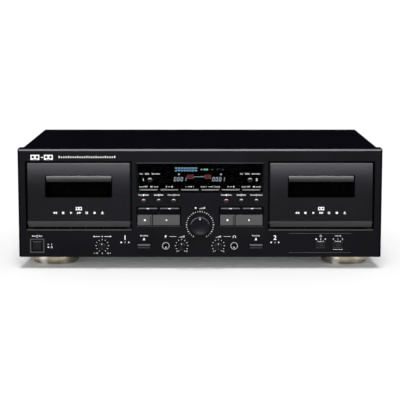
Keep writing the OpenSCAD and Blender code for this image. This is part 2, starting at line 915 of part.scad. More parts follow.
module small_pot_bore(x) {
    rod(x, low_z, small_shaft_r + run_fit, low_board_v - pot_t - over, low_board_v - pot_t + pot_depth);
}

module switch_board() {
    color("#3d5a3a") union() {
        slab(low_board_v, low_board_v + board_t)
            mid_box(switch_x(0.5), switch_z, switch_pitch + 2 * switch_board_end, switch_board_h);
        for (place = [0, 1])
            slab(switch_body_v, low_board_v + over / 2)
                mid_box(switch_x(place), switch_z, switch_body_w, switch_body_h);
    }
}

module power_switch() {
    color("#2c2c30") union() {
        slab(board_v, board_v + board_t) mid_box(power_x, low_z, power_board_w, power_body_w);
        slab(board_v, board_v + power_body_t) mid_box(power_x, low_z, power_body_w, power_body_w);
    }
}

module main_board() {
    color("#4a6b40") along_z(board_z, board_z + board_t)
        translate([board_x0, board_y0]) square([board_x1 - board_x0, board_y1 - board_y0]);
    color("#1d2a4a") for (place = [0:3])
        along_z(board_top, board_top + can_h) on_board(can_place, place * can_pitch) circle(can_r);
    color("#22303f") for (place = [0:7])
        along_z(board_top, board_top + small_can_h)
            on_board(small_can_place, place * small_can_pitch) circle(small_can_r);
    color("#1a1a1c") for (place = [0:4])
        along_z(board_top, board_top + chip_h)
            on_board(chip_place, place * chip_pitch) square([chip_w, chip_d]);
    color("#6d7074") heat_sink(board_top + seam);
}

// Puts a plan outline at a place measured from the main board's front left corner.
module on_board(place, along) {
    translate([board_x0 + place[0] + along, board_y0 + place[1]]) children();
}

module heat_sink(z) {
    along_z(z, z + sink_h) on_board(sink_place, 0) {
        square([sink_w, sink_t]);
        for (place = [0:fin_count - 1])
            translate([place * fin_pitch, sink_t - over]) square([fin_t, fin_d]);
    }
}

module power_transformer() {
    z = base_z + sheet_t;
    z0 = z + trafo_base_t + seam;
    color("#5d5f63") along_z(z, z + trafo_base_t) mid_box(trafo_x, trafo_v, trafo_base_w, trafo_base_d);
    color("#4d4f52") along_z(z0, z0 + trafo_h) difference() {
        mid_box(trafo_x, trafo_v, core_w, core_d);
        mid_box(trafo_x, trafo_v, coil_w + 2 * seat_fit, core_d + 2 * over);
    }
    color("#8a5a2c") along_z(z0, z0 + trafo_h) mid_box(trafo_x, trafo_v, coil_w, coil_d);
}

module transport_frame(deck) {
    x = deck * bay_x;
    half = opening_w / 2;
    color("#161618") difference() {
        union() {
            slab(panel_t, panel_t + well_t) difference() {
                box2(x - half - well_lip, x + half + well_lip, well_z0 - well_lip, well_z1 + well_lip);
                box2(x - half, x + half, well_z0, well_z1);
            }
            slab(panel_t, back_v) difference() {
                box2(x - half - well_t, x + half + well_t, well_z0 - well_t, well_z1 + well_t);
                box2(x - half, x + half, well_z0, well_z1);
            }
            slab(well_v, back_v)
                box2(x - half - well_t, x + half + well_t, well_z0 - well_t, well_z1 + well_t);
            cross_rod(pivot_v, pivot_z, pivot_boss_r, x - half - over, x - pivot_boss_x);
            cross_rod(pivot_v, pivot_z, pivot_boss_r, x + pivot_boss_x, x + half + over);
            rod(x + capstan_side, capstan_z, capstan_boss_r, carriage_v0, back_v);
            for (side = [-1, 1])
                rod(x + side * guide_side, guide_z, guide_r, carriage_v0 - 1, back_v);
            for (post = bracket_posts)
                rod(x + post[0], well_z0 + post[1], 3, back_v - over / 2, plate_v);
        }
        cross_rod(pivot_v, pivot_z, pivot_r + run_fit, x - pivot_end_x - 0.4, x + pivot_end_x + 0.4);
        for (side = [-1, 1])
            rod(x + side * reel_pitch / 2, reel_z, reel_shaft_r + run_fit, well_v - over, back_v + over);
        rod(x + capstan_side, capstan_z, capstan_r + run_fit, well_v - 5, back_v + over);
    }
}

// Behind each well a bracket on three posts carries the motor, whose belt drives the flywheel.
module motor_drives() {
    for (deck = [-1, 1]) {
        x = deck * bay_x;
        color("#8d9094") slab(plate_v, plate_v + plate_t) difference() {
            translate([x - bracket_w / 2, well_z0 + bracket_rise]) square([bracket_w, bracket_h]);
            translate([x - motor_side, capstan_z + motor_rise]) circle(pulley_r + pulley_room);
        }
        color("#a9acb0") drive_motor(x - motor_side, capstan_z + motor_rise);
        color("#0c0c0d") slab(belt_v, belt_v + belt_w) belt_loop(x);
    }
}

module drive_motor(x, z) {
    can_v = plate_v + plate_t + seam;
    rod(x, z, motor_r, can_v, can_v + motor_l);
    rod(x, z, motor_shaft_r, belt_v - pulley_lip, can_v + over);
    rod(x, z, pulley_r, belt_v - slide_fit - pulley_lip, belt_v - slide_fit);
    rod(x, z, pulley_r - groove_d, belt_v - over, belt_v + belt_w + over);
    rod(x, z, pulley_r, belt_v + belt_w + slide_fit, belt_v + belt_w + slide_fit + pulley_lip);
}

// The belt runs in the grooves of the flywheel and the pulley.
module belt_loop(x) {
    inner = slide_fit;
    difference() {
        belt_outline(x, inner + belt_t);
        belt_outline(x, inner);
    }
}

module belt_outline(x, add) {
    big = flywheel_r - groove_d + add;
    small = pulley_r - groove_d + add;
    big_run = big - belt_sink;
    small_run = small - belt_sink;
    dx = -motor_side - capstan_side;
    dz = motor_rise;
    reach = sqrt(dx * dx + dz * dz);
    turn = atan2(dz, dx);
    lead = acos((big - small) / reach);
    translate([x + capstan_side, capstan_z]) rotate(turn) {
        circle(big);
        translate([reach, 0]) circle(small);
        polygon([[big_run * cos(lead), big_run * sin(lead)],
            [reach + small_run * cos(lead), small_run * sin(lead)],
            [reach + small_run * cos(lead), -small_run * sin(lead)],
            [big_run * cos(lead), -big_run * sin(lead)]]);
    }
}

module door(deck) {
    x = deck * bay_x;
    color("#2e2e32") difference() {
        along_x(x - door_w / 2, x + door_w / 2) door_outline();
        slab(-over, door_t + over) round_box(x, window_z, window_w, window_h, 2);
    }
}

// A door's side view: flat in the middle, curved back above, and cut back along the lower edge.
module door_outline() {
    rise = door_z1 - door_bend_z;
    bend_r = (rise * rise + door_lean * door_lean) / (2 * door_lean);
    intersection() {
        polygon([[0, door_z0 + door_lip], [lip_back, door_z0], [door_t, door_z0], [door_t, door_z1],
            [0, door_z1]]);
        union() {
            translate([bend_r, door_bend_z]) circle(bend_r, $fn = 240);
            box2(-over, door_t + over, door_z0 - over, door_bend_z);
        }
    }
}

module door_window(deck) {
    x = deck * bay_x;
    color("#101012") {
        slab(pane_back + door_lean / 2, door_t + over / 2)
            round_box(x, window_z, window_w - 2 * seat_fit, window_h - 2 * seat_fit, 1.8);
        slab(door_t, door_t + pane_lip_t)
            mid_box(x, window_z, window_w + 2 * pane_lip, window_h + 2 * pane_lip);
    }
}

// The holder hangs behind the door and takes the cassette between its side channels.
module cassette_holder(deck) {
    x = deck * bay_x;
    low = pivot_z - holder_foot;
    high = cassette_z0 + cassette_h - holder_drop;
    color("#1d1d20") {
        slab(door_t, door_t + web_t) difference() {
            box2(x - holder_in - holder_t, x + holder_in + holder_t,
                cassette_z0 - shelf_gap - shelf_t, door_z1 - web_drop);
            mid_box(x, window_z, window_w + 2 * (pane_lip + pane_gap), window_h + 2 * (pane_lip + pane_gap));
        }
        for (side = [-1, 1]) {
            edge = side * holder_in;
            slab(door_t, holder_v1)
                box2(x + min(edge, edge + side * holder_t), x + max(edge, edge + side * holder_t), low, high);
            slab(door_t, holder_v1)
                box2(x + min(edge, side * shelf_end), x + max(edge, side * shelf_end),
                    cassette_z0 - shelf_gap - shelf_t, cassette_z0 - shelf_gap);
            hook = edge - side * hook_w;
            slab(cassette_v1, holder_v1)
                box2(x + min(edge, hook), x + max(edge, hook), cassette_z0 + hook_rise, high);
            pin = side * (holder_in + holder_t / 2);
            cross_rod(pivot_v, pivot_z, pivot_r,
                x + min(pin, side * pivot_end_x), x + max(pin, side * pivot_end_x));
        }
    }
}

// A reel hub: a table that turns just in front of the well's back, and a spindle with six splines.
module reel_hub(deck, side) {
    x = deck * bay_x + side * reel_pitch / 2;
    table_v = well_v - slide_fit - table_t;
    color("#e2e0d8") {
        rod(x, reel_z, table_r, table_v, table_v + table_t);
        rod(x, reel_z, spindle_r, reel_tip_v + 1.5, table_v + over);
        cone(x, reel_z, spindle_r - 1.4, spindle_r, reel_tip_v, reel_tip_v + 1.5);
        for (turn = [0:60:300])
            translate([x, 0, reel_z]) rotate([0, turn, 0])
                slab(reel_tip_v + 2, table_v + over / 2) box2(-0.6, 0.6, spindle_r - 1, spline_r);
        rod(x, reel_z, reel_shaft_r, table_v + over, back_v + 1.2);
        rod(x, reel_z, reel_shaft_r + 1.4, back_v + slide_fit, back_v + 1.4);
    }
}

module capstan_flywheel(deck) {
    x = deck * bay_x + capstan_side;
    color("#c4c6c9") {
        rod(x, capstan_z, capstan_r, capstan_tip_v, flywheel_v0 + over);
        difference() {
            rod(x, capstan_z, flywheel_r, flywheel_v0, flywheel_v0 + flywheel_t);
            slab(belt_v - slide_fit, belt_v + belt_w + slide_fit) translate([x, capstan_z]) difference() {
                circle(flywheel_r + over);
                circle(flywheel_r - groove_d);
            }
        }
        rod(x, capstan_z, 3, flywheel_v0 + flywheel_t - over, plate_v - slide_fit);
    }
}

// The head carriage slides up on two guide pins and brings the heads and the roller to the tape.
module head_carriage(deck) {
    x = deck * bay_x;
    head_top = cassette_z0 - 1.2;
    color("#7f8286") difference() {
        union() {
            slab(carriage_v0, carriage_v1)
                box2(x - carriage_w / 2, x + carriage_w / 2, carriage_z0, carriage_z0 + carriage_h);
            slab(head_v0, carriage_v0 + over / 2) {
                box2(x - 7, x + 7, carriage_z0 + 2, head_top - 4);
                translate([x, head_top - 5.5]) circle(5.5);
            }
            slab(head_v0 + 1, carriage_v0 + over / 2) box2(x - 18.5, x - 11, carriage_z0 + 2, head_top - 1);
            rod(x + capstan_side, roller_z, 1.3, head_v0 - 0.6, carriage_v1);
        }
        slab(carriage_v0 - over, carriage_v1 + over) for (side = [-1, 1])
            tall_slot(x + side * guide_side, guide_z - carriage_travel / 2,
                guide_r + guide_gap, carriage_travel + 2 * guide_gap);
    }
    color("#151517") difference() {
        rod(x + capstan_side, roller_z, roller_r, head_v0, carriage_v0 - slide_fit);
        rod(x + capstan_side, roller_z, 1.3 + run_fit, head_v0 - over, carriage_v0 + over);
    }
}

// A key with a cap, a lip behind the panel's edge and a stem to its switch.
module panel_key(x0, x1, z0, z1, lip_low, lip_high, bevel, top_bevel) {
    key_cap(x0, x1, z0, z1, key_out, lip_v0 + lip_t, bevel, top_bevel);
    slab(lip_v0, lip_v0 + lip_t) box2(x0, x1, z0 - lip_low, z1 + lip_high);
    rod((x0 + x1) / 2, (z0 + z1) / 2, stem_r, lip_v0 + 0.5, stem_end);
}

module stop_key(deck) {
    color("#5b5b5f")
        panel_key(block_x0(deck), stop_x1(deck), key_z0, key_z0 + play_h, key_lip, 0, 0.5, 0.5);
}

module play_key(deck) {
    color("#5b5b5f")
        panel_key(stop_x1(deck) + key_gap, block_x1(deck), key_z0, key_z0 + play_h, key_lip, 0, 0.5, 0.5);
}

module rewind_key(deck) {
    color("#222226")
        panel_key(block_x0(deck), deck * block_mid - key_gap / 2, wind_z0, wind_z1, 0, key_lip, 0.4, 2.2);
}

module fast_forward_key(deck) {
    color("#222226")
        panel_key(deck * block_mid + key_gap / 2, block_x1(deck), wind_z0, wind_z1, 0, key_lip, 0.4, 2.2);
}

// A round button with a narrowed tip, a collar behind its plate and a stem to its switch.
module round_button(x, z, r, out, collar_v) {
    cone(x, z, r - 0.5, r, -out, 0.6 - out);
    rod(x, z, r, 0.6 - out, collar_v + 1);
    rod(x, z, r + 0.9, collar_v, collar_v + 1.2);
    rod(x, z, stem_r, collar_v + 1, stem_end);
}

module record_button(deck) {
    color("#8c4a4c") round_button(round_x(deck, 0), round_z, round_r, 2, lip_v0);
}

module pause_button(deck) {
    color("#3a3a3e") round_button(round_x(deck, 1), round_z, round_r, 2, lip_v0);
}

module mute_button(deck) {
    color("#3a3a3e") round_button(round_x(deck, 2), round_z, round_r, 2, lip_v0);
}

module counter_reset(deck) {
    color("#2c2c30") round_button(deck * reset_x, reset_z, reset_r, 1.4, lens_back + slide_fit);
}

module mode_key(place) {
    x = mode_x(place);
    v = lens_back + slide_fit;
    color("#a6a7a9") {
        key_cap(x - mode_w / 2, x + mode_w / 2, mode_z - mode_h / 2, mode_z + mode_h / 2,
            mode_out, v + over, mode_bevel, mode_bevel);
        slab(v, v + 1.2) mid_box(x, mode_z, mode_w, mode_h + 1.8);
        rod(x, mode_z, 1, v + 1, stem_end);
    }
}

module eject_button(deck) {
    x = deck * eject_x;
    color("#222226") {
        key_cap(x - eject_w / 2, x + eject_w / 2, low_z - eject_h / 2, low_z + eject_h / 2,
            key_out + 2, lip_v0 + lip_t, 0.4, 2);
        slab(lip_v0, lip_v0 + lip_t) mid_box(x, low_z, eject_w, eject_h + 2 * key_lip);
        rod(x, low_z, 2, lip_v0 + 0.5, eject_end - eject_travel);
    }
}

module power_button() {
    half = power_w / 2;
    color("#2a2a2e") {
        key_cap(power_x - half, power_x + half, low_z - half, low_z + half, 1.6, lip_v0 + lip_t, 0.6, 0.6);
        slab(lip_v0, lip_v0 + lip_t) mid_box(power_x, low_z, power_w, power_w + 2 * key_lip);
        rod(power_x, low_z, 2.4, lip_v0 + 0.5, board_v - power_travel - slide_fit);
    }
}

// A knob on a shaft that ends in its potentiometer.
module knob(x, z, r, out, shaft_r, shaft_end, mark_w) {
    difference() {
        union() {
            cone(x, z, r - 0.7, r, -out, 0.7 - out);
            rod(x, z, r, 0.7 - out, -knob_lift);
            rod(x, z, shaft_r, -over - knob_lift, shaft_end);
        }
        slab(-out - over, 0.6 - out) mid_box(x, z + r - 0.22 * r, mark_w, 0.44 * r);
    }
}

module record_level_knob() {
    color("#26262a") knob(0, level_z, level_r, knob_out, level_shaft_r, board_v - shaft_short, level_mark_w);
}

module small_knob(x) {
    color("#26262a")
        knob(x, low_z, small_r, small_out, small_shaft_r, low_board_v - shaft_short, small_mark_w);
}

// A slide switch: a small grip in a slot, on a plate that runs behind the panel.
module slide_switch(place) {
    x = switch_x(place);
    color("#303034") {
        slab(shelf_d - 1.6, lip_v0 + 1) mid_box(x, switch_z, switch_knob_w, switch_slot_h - 2 * slide_fit);
        slab(lip_v0, lip_v0 + 1.4) mid_box(x, switch_z, switch_plate_w, switch_slot_h + 2);
        slab(lip_v0 + 1, panel_t + 2.9) mid_box(x, switch_z, 3, 3);
    }
}

front_panel();
top_cover();
chassis();
rear_panel();
feet();
display_window();
case_screws();
jack_sockets();
rear_sockets();
control_boards();
main_board();
power_transformer();
transport_frame(-1);  // transport_frame_1
transport_frame(1);  // transport_frame_2
motor_drives();
door(-1);  // door_1
door_window(-1);  // door_window_1
cassette_holder(-1);  // cassette_holder_1
door(1);  // door_2
door_window(1);  // door_window_2
cassette_holder(1);  // cassette_holder_2
reel_hub(-1, -1);  // supply_reel_1
reel_hub(-1, 1);  // take_up_reel_1
reel_hub(1, -1);  // supply_reel_2
reel_hub(1, 1);  // take_up_reel_2
capstan_flywheel(-1);  // capstan_flywheel_1
capstan_flywheel(1);  // capstan_flywheel_2
head_carriage(-1);  // head_carriage_1
head_carriage(1);  // head_carriage_2
power_button();
eject_button(-1);  // eject_button_1
eject_button(1);  // eject_button_2
stop_key(-1);  // stop_key_1
stop_key(1);  // stop_key_2
play_key(-1);  // play_key_1
play_key(1);  // play_key_2
rewind_key(-1);  // rewind_key_1
rewind_key(1);  // rewind_key_2
fast_forward_key(-1);  // fast_forward_key_1
fast_forward_key(1);  // fast_forward_key_2
record_button(-1);  // record_button_1
record_button(1);  // record_button_2
pause_button(-1);  // pause_button_1
pause_button(1);  // pause_button_2
mute_button(-1);  // mute_button_1
mute_button(1);  // mute_button_2
counter_reset(-1);  // counter_reset_1
counter_reset(1);  // counter_reset_2
mode_key(0);  // mode_key_1
mode_key(1);  // mode_key_2
mode_key(2);  // mode_key_3
mode_key(3);  // mode_key_4
mode_key(4);  // mode_key_5
mode_key(5);  // mode_key_6
record_level_knob();
small_knob(pitch_x);  // pitch_knob
small_knob(-small_x);  // mic_level_knob
small_knob(small_x);  // phones_level_knob
slide_switch(0);  // timer_switch
slide_switch(1);  // filter_switch
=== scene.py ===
import json
import math

import bmesh
import bpy
from mathutils import Matrix, Vector

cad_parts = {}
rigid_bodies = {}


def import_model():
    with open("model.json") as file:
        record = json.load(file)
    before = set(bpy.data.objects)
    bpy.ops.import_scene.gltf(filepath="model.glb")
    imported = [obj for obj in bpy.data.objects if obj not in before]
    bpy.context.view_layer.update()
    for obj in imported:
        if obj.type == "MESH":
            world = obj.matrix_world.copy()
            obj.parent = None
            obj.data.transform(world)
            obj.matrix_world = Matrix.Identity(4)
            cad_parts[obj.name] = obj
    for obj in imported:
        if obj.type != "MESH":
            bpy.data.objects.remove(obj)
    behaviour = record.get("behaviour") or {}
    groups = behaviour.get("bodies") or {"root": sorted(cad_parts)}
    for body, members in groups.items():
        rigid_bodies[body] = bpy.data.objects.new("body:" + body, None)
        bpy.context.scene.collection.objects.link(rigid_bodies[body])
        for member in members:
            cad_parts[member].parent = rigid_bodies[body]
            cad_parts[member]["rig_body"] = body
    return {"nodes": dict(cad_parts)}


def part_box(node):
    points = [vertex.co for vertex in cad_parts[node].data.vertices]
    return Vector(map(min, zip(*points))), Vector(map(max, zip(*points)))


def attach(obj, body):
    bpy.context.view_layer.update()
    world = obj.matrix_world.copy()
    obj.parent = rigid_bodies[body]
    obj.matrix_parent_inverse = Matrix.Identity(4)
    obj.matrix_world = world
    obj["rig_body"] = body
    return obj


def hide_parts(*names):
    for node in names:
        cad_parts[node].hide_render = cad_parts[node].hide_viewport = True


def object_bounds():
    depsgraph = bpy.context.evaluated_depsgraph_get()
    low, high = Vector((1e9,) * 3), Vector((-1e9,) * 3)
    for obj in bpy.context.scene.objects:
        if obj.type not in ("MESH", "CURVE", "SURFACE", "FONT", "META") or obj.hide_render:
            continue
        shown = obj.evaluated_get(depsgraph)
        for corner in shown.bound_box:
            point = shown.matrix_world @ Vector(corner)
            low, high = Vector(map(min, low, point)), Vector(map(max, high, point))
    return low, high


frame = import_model()
cadLow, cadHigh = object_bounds()
nodes = frame["nodes"]
mm = 0.001
tiny = 1e-6
decks = (1, 2)
sides = (-1, 1)
bezelProud = 0.8 * mm  # the power bezel stands this far out of the panel
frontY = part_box("front_panel")[0].y + bezelProud
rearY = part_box("rear_panel")[1].y
print("frame loaded:", len(nodes), "nodes")


# Camera and light

viewpoint = {"distance": 1.636, "height": 0.317, "pitch": 8.1, "lens": 124.4, "sensor": 36}
lamps = {
    "sky": {"strength": 0.33},
    "top": {"strength": 3.22, "angle": 24, "tilts": (15, 34, 70), "place": (0, 0, 2)},
    "front": {"power": 60, "size": (1.8, 0.3), "place": (0, -2.9, 0.67), "aim": (0, -0.13, 0.1)},
}


def placeCamera():
    data = bpy.data.cameras.new("camera")
    data.lens = viewpoint["lens"]
    data.sensor_width = viewpoint["sensor"]
    camera = bpy.data.objects.new("camera", data)
    camera.location = (0, frontY - viewpoint["distance"], viewpoint["height"])
    camera.rotation_euler = (math.radians(90 - viewpoint["pitch"]), 0, 0)
    bpy.context.scene.collection.objects.link(camera)
    bpy.context.scene.camera = camera


def addLamp(name, kind, place, turn):
    lamp = bpy.data.objects.new(name, bpy.data.lights.new(name, kind))
    lamp.location = place
    lamp.rotation_euler = turn
    bpy.context.scene.collection.objects.link(lamp)
    return lamp


def lightStudio():
    world = bpy.data.worlds.new("studio")
    world.use_nodes = True
    sky = world.node_tree.nodes["Background"].inputs
    sky["Strength"].default_value = lamps["sky"]["strength"]
    sky["Color"].default_value = (1, 1, 1, 1)
    bpy.context.scene.world = world
    top = lamps["top"]
    for tilt in top["tilts"]:
        sun = addLamp(f"topLight{tilt}", "SUN", top["place"], (math.radians(tilt), 0, 0)).data
        sun.energy = top["strength"] / len(top["tilts"])
        sun.angle = math.radians(top["angle"])
    front = lamps["front"]
    turn = (Vector(front["aim"]) - Vector(front["place"])).to_track_quat("-Z", "Y").to_euler()
    softbox = addLamp("frontSoftbox", "AREA", front["place"], turn)
    softbox.visible_diffuse = False  # a sheen only, so the level stays plain
    softbox.data.shape = "RECTANGLE"
    softbox.data.size, softbox.data.size_y = front["size"]
    softbox.data.energy = front["power"]


placeCamera()
lightStudio()
bpy.context.scene.view_settings.view_transform = "Standard"
print("camera and lights placed")


# Shared shader effects

def feed(tree, socket, value):
    # a socket takes another node's output, or a plain value
    if isinstance(value, bpy.types.NodeSocket):
        tree.links.new(value, socket)
    else:
        socket.default_value = value


def addNode(tree, kind, inputs=None, **settings):
    node = tree.nodes.new("ShaderNode" + kind)
    for name, value in settings.items():
        setattr(node, name, value)
    for label, value in (inputs or {}).items():
        feed(tree, node.inputs[label], value)
    return node


def calculate(tree, operation, *values):
    return addNode(tree, "Math", dict(enumerate(values)), operation=operation).outputs["Value"]


def groupShell(name, inputs, outputs):
    group = bpy.data.node_groups.new(name, "ShaderNodeTree")
    for label, value in inputs.items():
        kind = "NodeSocketVector" if isinstance(value, tuple) else "NodeSocketFloat"
        socket = group.interface.new_socket(name=label, in_out="INPUT", socket_type=kind)
        socket.default_value = value
    for label in outputs:
        group.interface.new_socket(name=label, in_out="OUTPUT", socket_type="NodeSocketFloat")
    return group, group.nodes.new("NodeGroupInput").outputs, group.nodes.new("NodeGroupOutput").inputs


def makeMouldedGrain():
    # fine grain for a bump, and slow patches for colour and gloss
    group, given, out = groupShell("mouldedGrain", {"Grain": 2000, "Patch": 30}, ("Height", "Patches"))
    place = addNode(group, "TexCoord").outputs["Object"]
    for scale, result, detail in (("Grain", "Height", 3), ("Patch", "Patches", 5)):
        noise = addNode(group, "TexNoise", {"Vector": place, "Scale": given[scale], "Detail": detail})
        feed(group, out[result], noise.outputs["Fac"])
    return group


def makeDrawnLines():
    # lines drawn out along one direction, as on rolled or brushed metal
    stretch = (10, 2000, 2000)
    group, given, out = groupShell("drawnLines", {"Stretch": stretch, "Patch": 30}, ("Height", "Patches"))
    place = addNode(group, "TexCoord").outputs["Object"]
    drawn = addNode(group, "VectorMath", {0: place, 1: given["Stretch"]}, operation="MULTIPLY")
    lines = addNode(group, "TexNoise", {"Vector": drawn.outputs["Vector"], "Scale": 1, "Detail": 2})
    patch = addNode(group, "TexNoise", {"Vector": place, "Scale": given["Patch"], "Detail": 4})
    feed(group, out["Height"], lines.outputs["Fac"])
    feed(group, out["Patches"], patch.outputs["Fac"])
    return group


def makeDustFilm():
    # a thin film of dust on what faces up
    group, given, out = groupShell("dustFilm", {"Amount": 0.1, "Speck": 900}, ("Mask",))
    place = addNode(group, "TexCoord").outputs["Object"]
    split = addNode(group, "SeparateXYZ", {"Vector": addNode(group, "NewGeometry").outputs["Normal"]})
    up = addNode(group, "MapRange", {"Value": split.outputs["Z"], "From Min": 0.55})
    speck = addNode(group, "TexNoise", {"Vector": place, "Scale": given["Speck"], "Detail": 6})
    amount = calculate(group, "MULTIPLY", up.outputs["Result"], given["Amount"])
    feed(group, out["Mask"], calculate(group, "MULTIPLY", amount, speck.outputs["Fac"]))
    return group


def makeTurnedRings():
    # fine rings about a knob's axis, after a Mapping node has centred it
    group, given, out = groupShell("turnedRings", {"Place": (0, 0, 0), "Pitch": 3000}, ("Height",))
    radius = addNode(group, "VectorMath", {0: given["Place"]}, operation="LENGTH").outputs["Value"]
    ring = calculate(group, "MULTIPLY", radius, given["Pitch"])
    feed(group, out["Height"], calculate(group, "SINE", ring))
    return group


mouldedGrain = makeMouldedGrain()
drawnLines = makeDrawnLines()
dustFilm = makeDustFilm()
turnedRings = makeTurnedRings()
print("shader groups made")


# Materials

materials = {}


def startMaterial(name):
    material = bpy.data.materials.new(name)
    material.use_nodes = True
    materials[name] = material
    return material.node_tree, material.node_tree.nodes["Principled BSDF"]


def addEffect(tree, group, **values):
    return addNode(tree, "Group", values, node_tree=group).outputs


def mixColour(tree, factor, low, high):
    if not isinstance(low, bpy.types.NodeSocket):
        low = (*low, 1)
    ends = {"Factor": factor, "A": low, "B": (*high, 1)}
    return addNode(tree, "Mix", ends, data_type="RGBA").outputs["Result"]


def spread(tree, factor, low, high):
    # noise lies mostly in its middle range, which is stretched over the whole span
    ends = {"Value": factor, "From Min": 0.3, "From Max": 0.7, "To Min": low, "To Max": high}
    return addNode(tree, "MapRange", ends).outputs["Result"]


def patchy(tree, patches, colours):
    return mixColour(tree, spread(tree, patches, 0, 1), *colours)


def bump(tree, shader, height, strength, depth):
    relief = addNode(tree, "Bump", {"Height": height, "Strength": strength, "Distance": depth * mm})
    feed(tree, shader.inputs["Normal"], relief.outputs["Normal"])


def setShader(tree, shader, values):
    for label, value in values.items():
        feed(tree, shader.inputs[label], value)


def grey(low, high, tint=(1, 1, 1)):
    return tuple(low * t for t in tint), tuple(high * t for t in tint)


def tone(colours, rough, gloss, **more):
    # colours and rough are (low, high) pairs that the slow patches move between
    return dict(colours=colours, rough=rough, gloss=gloss, **more)


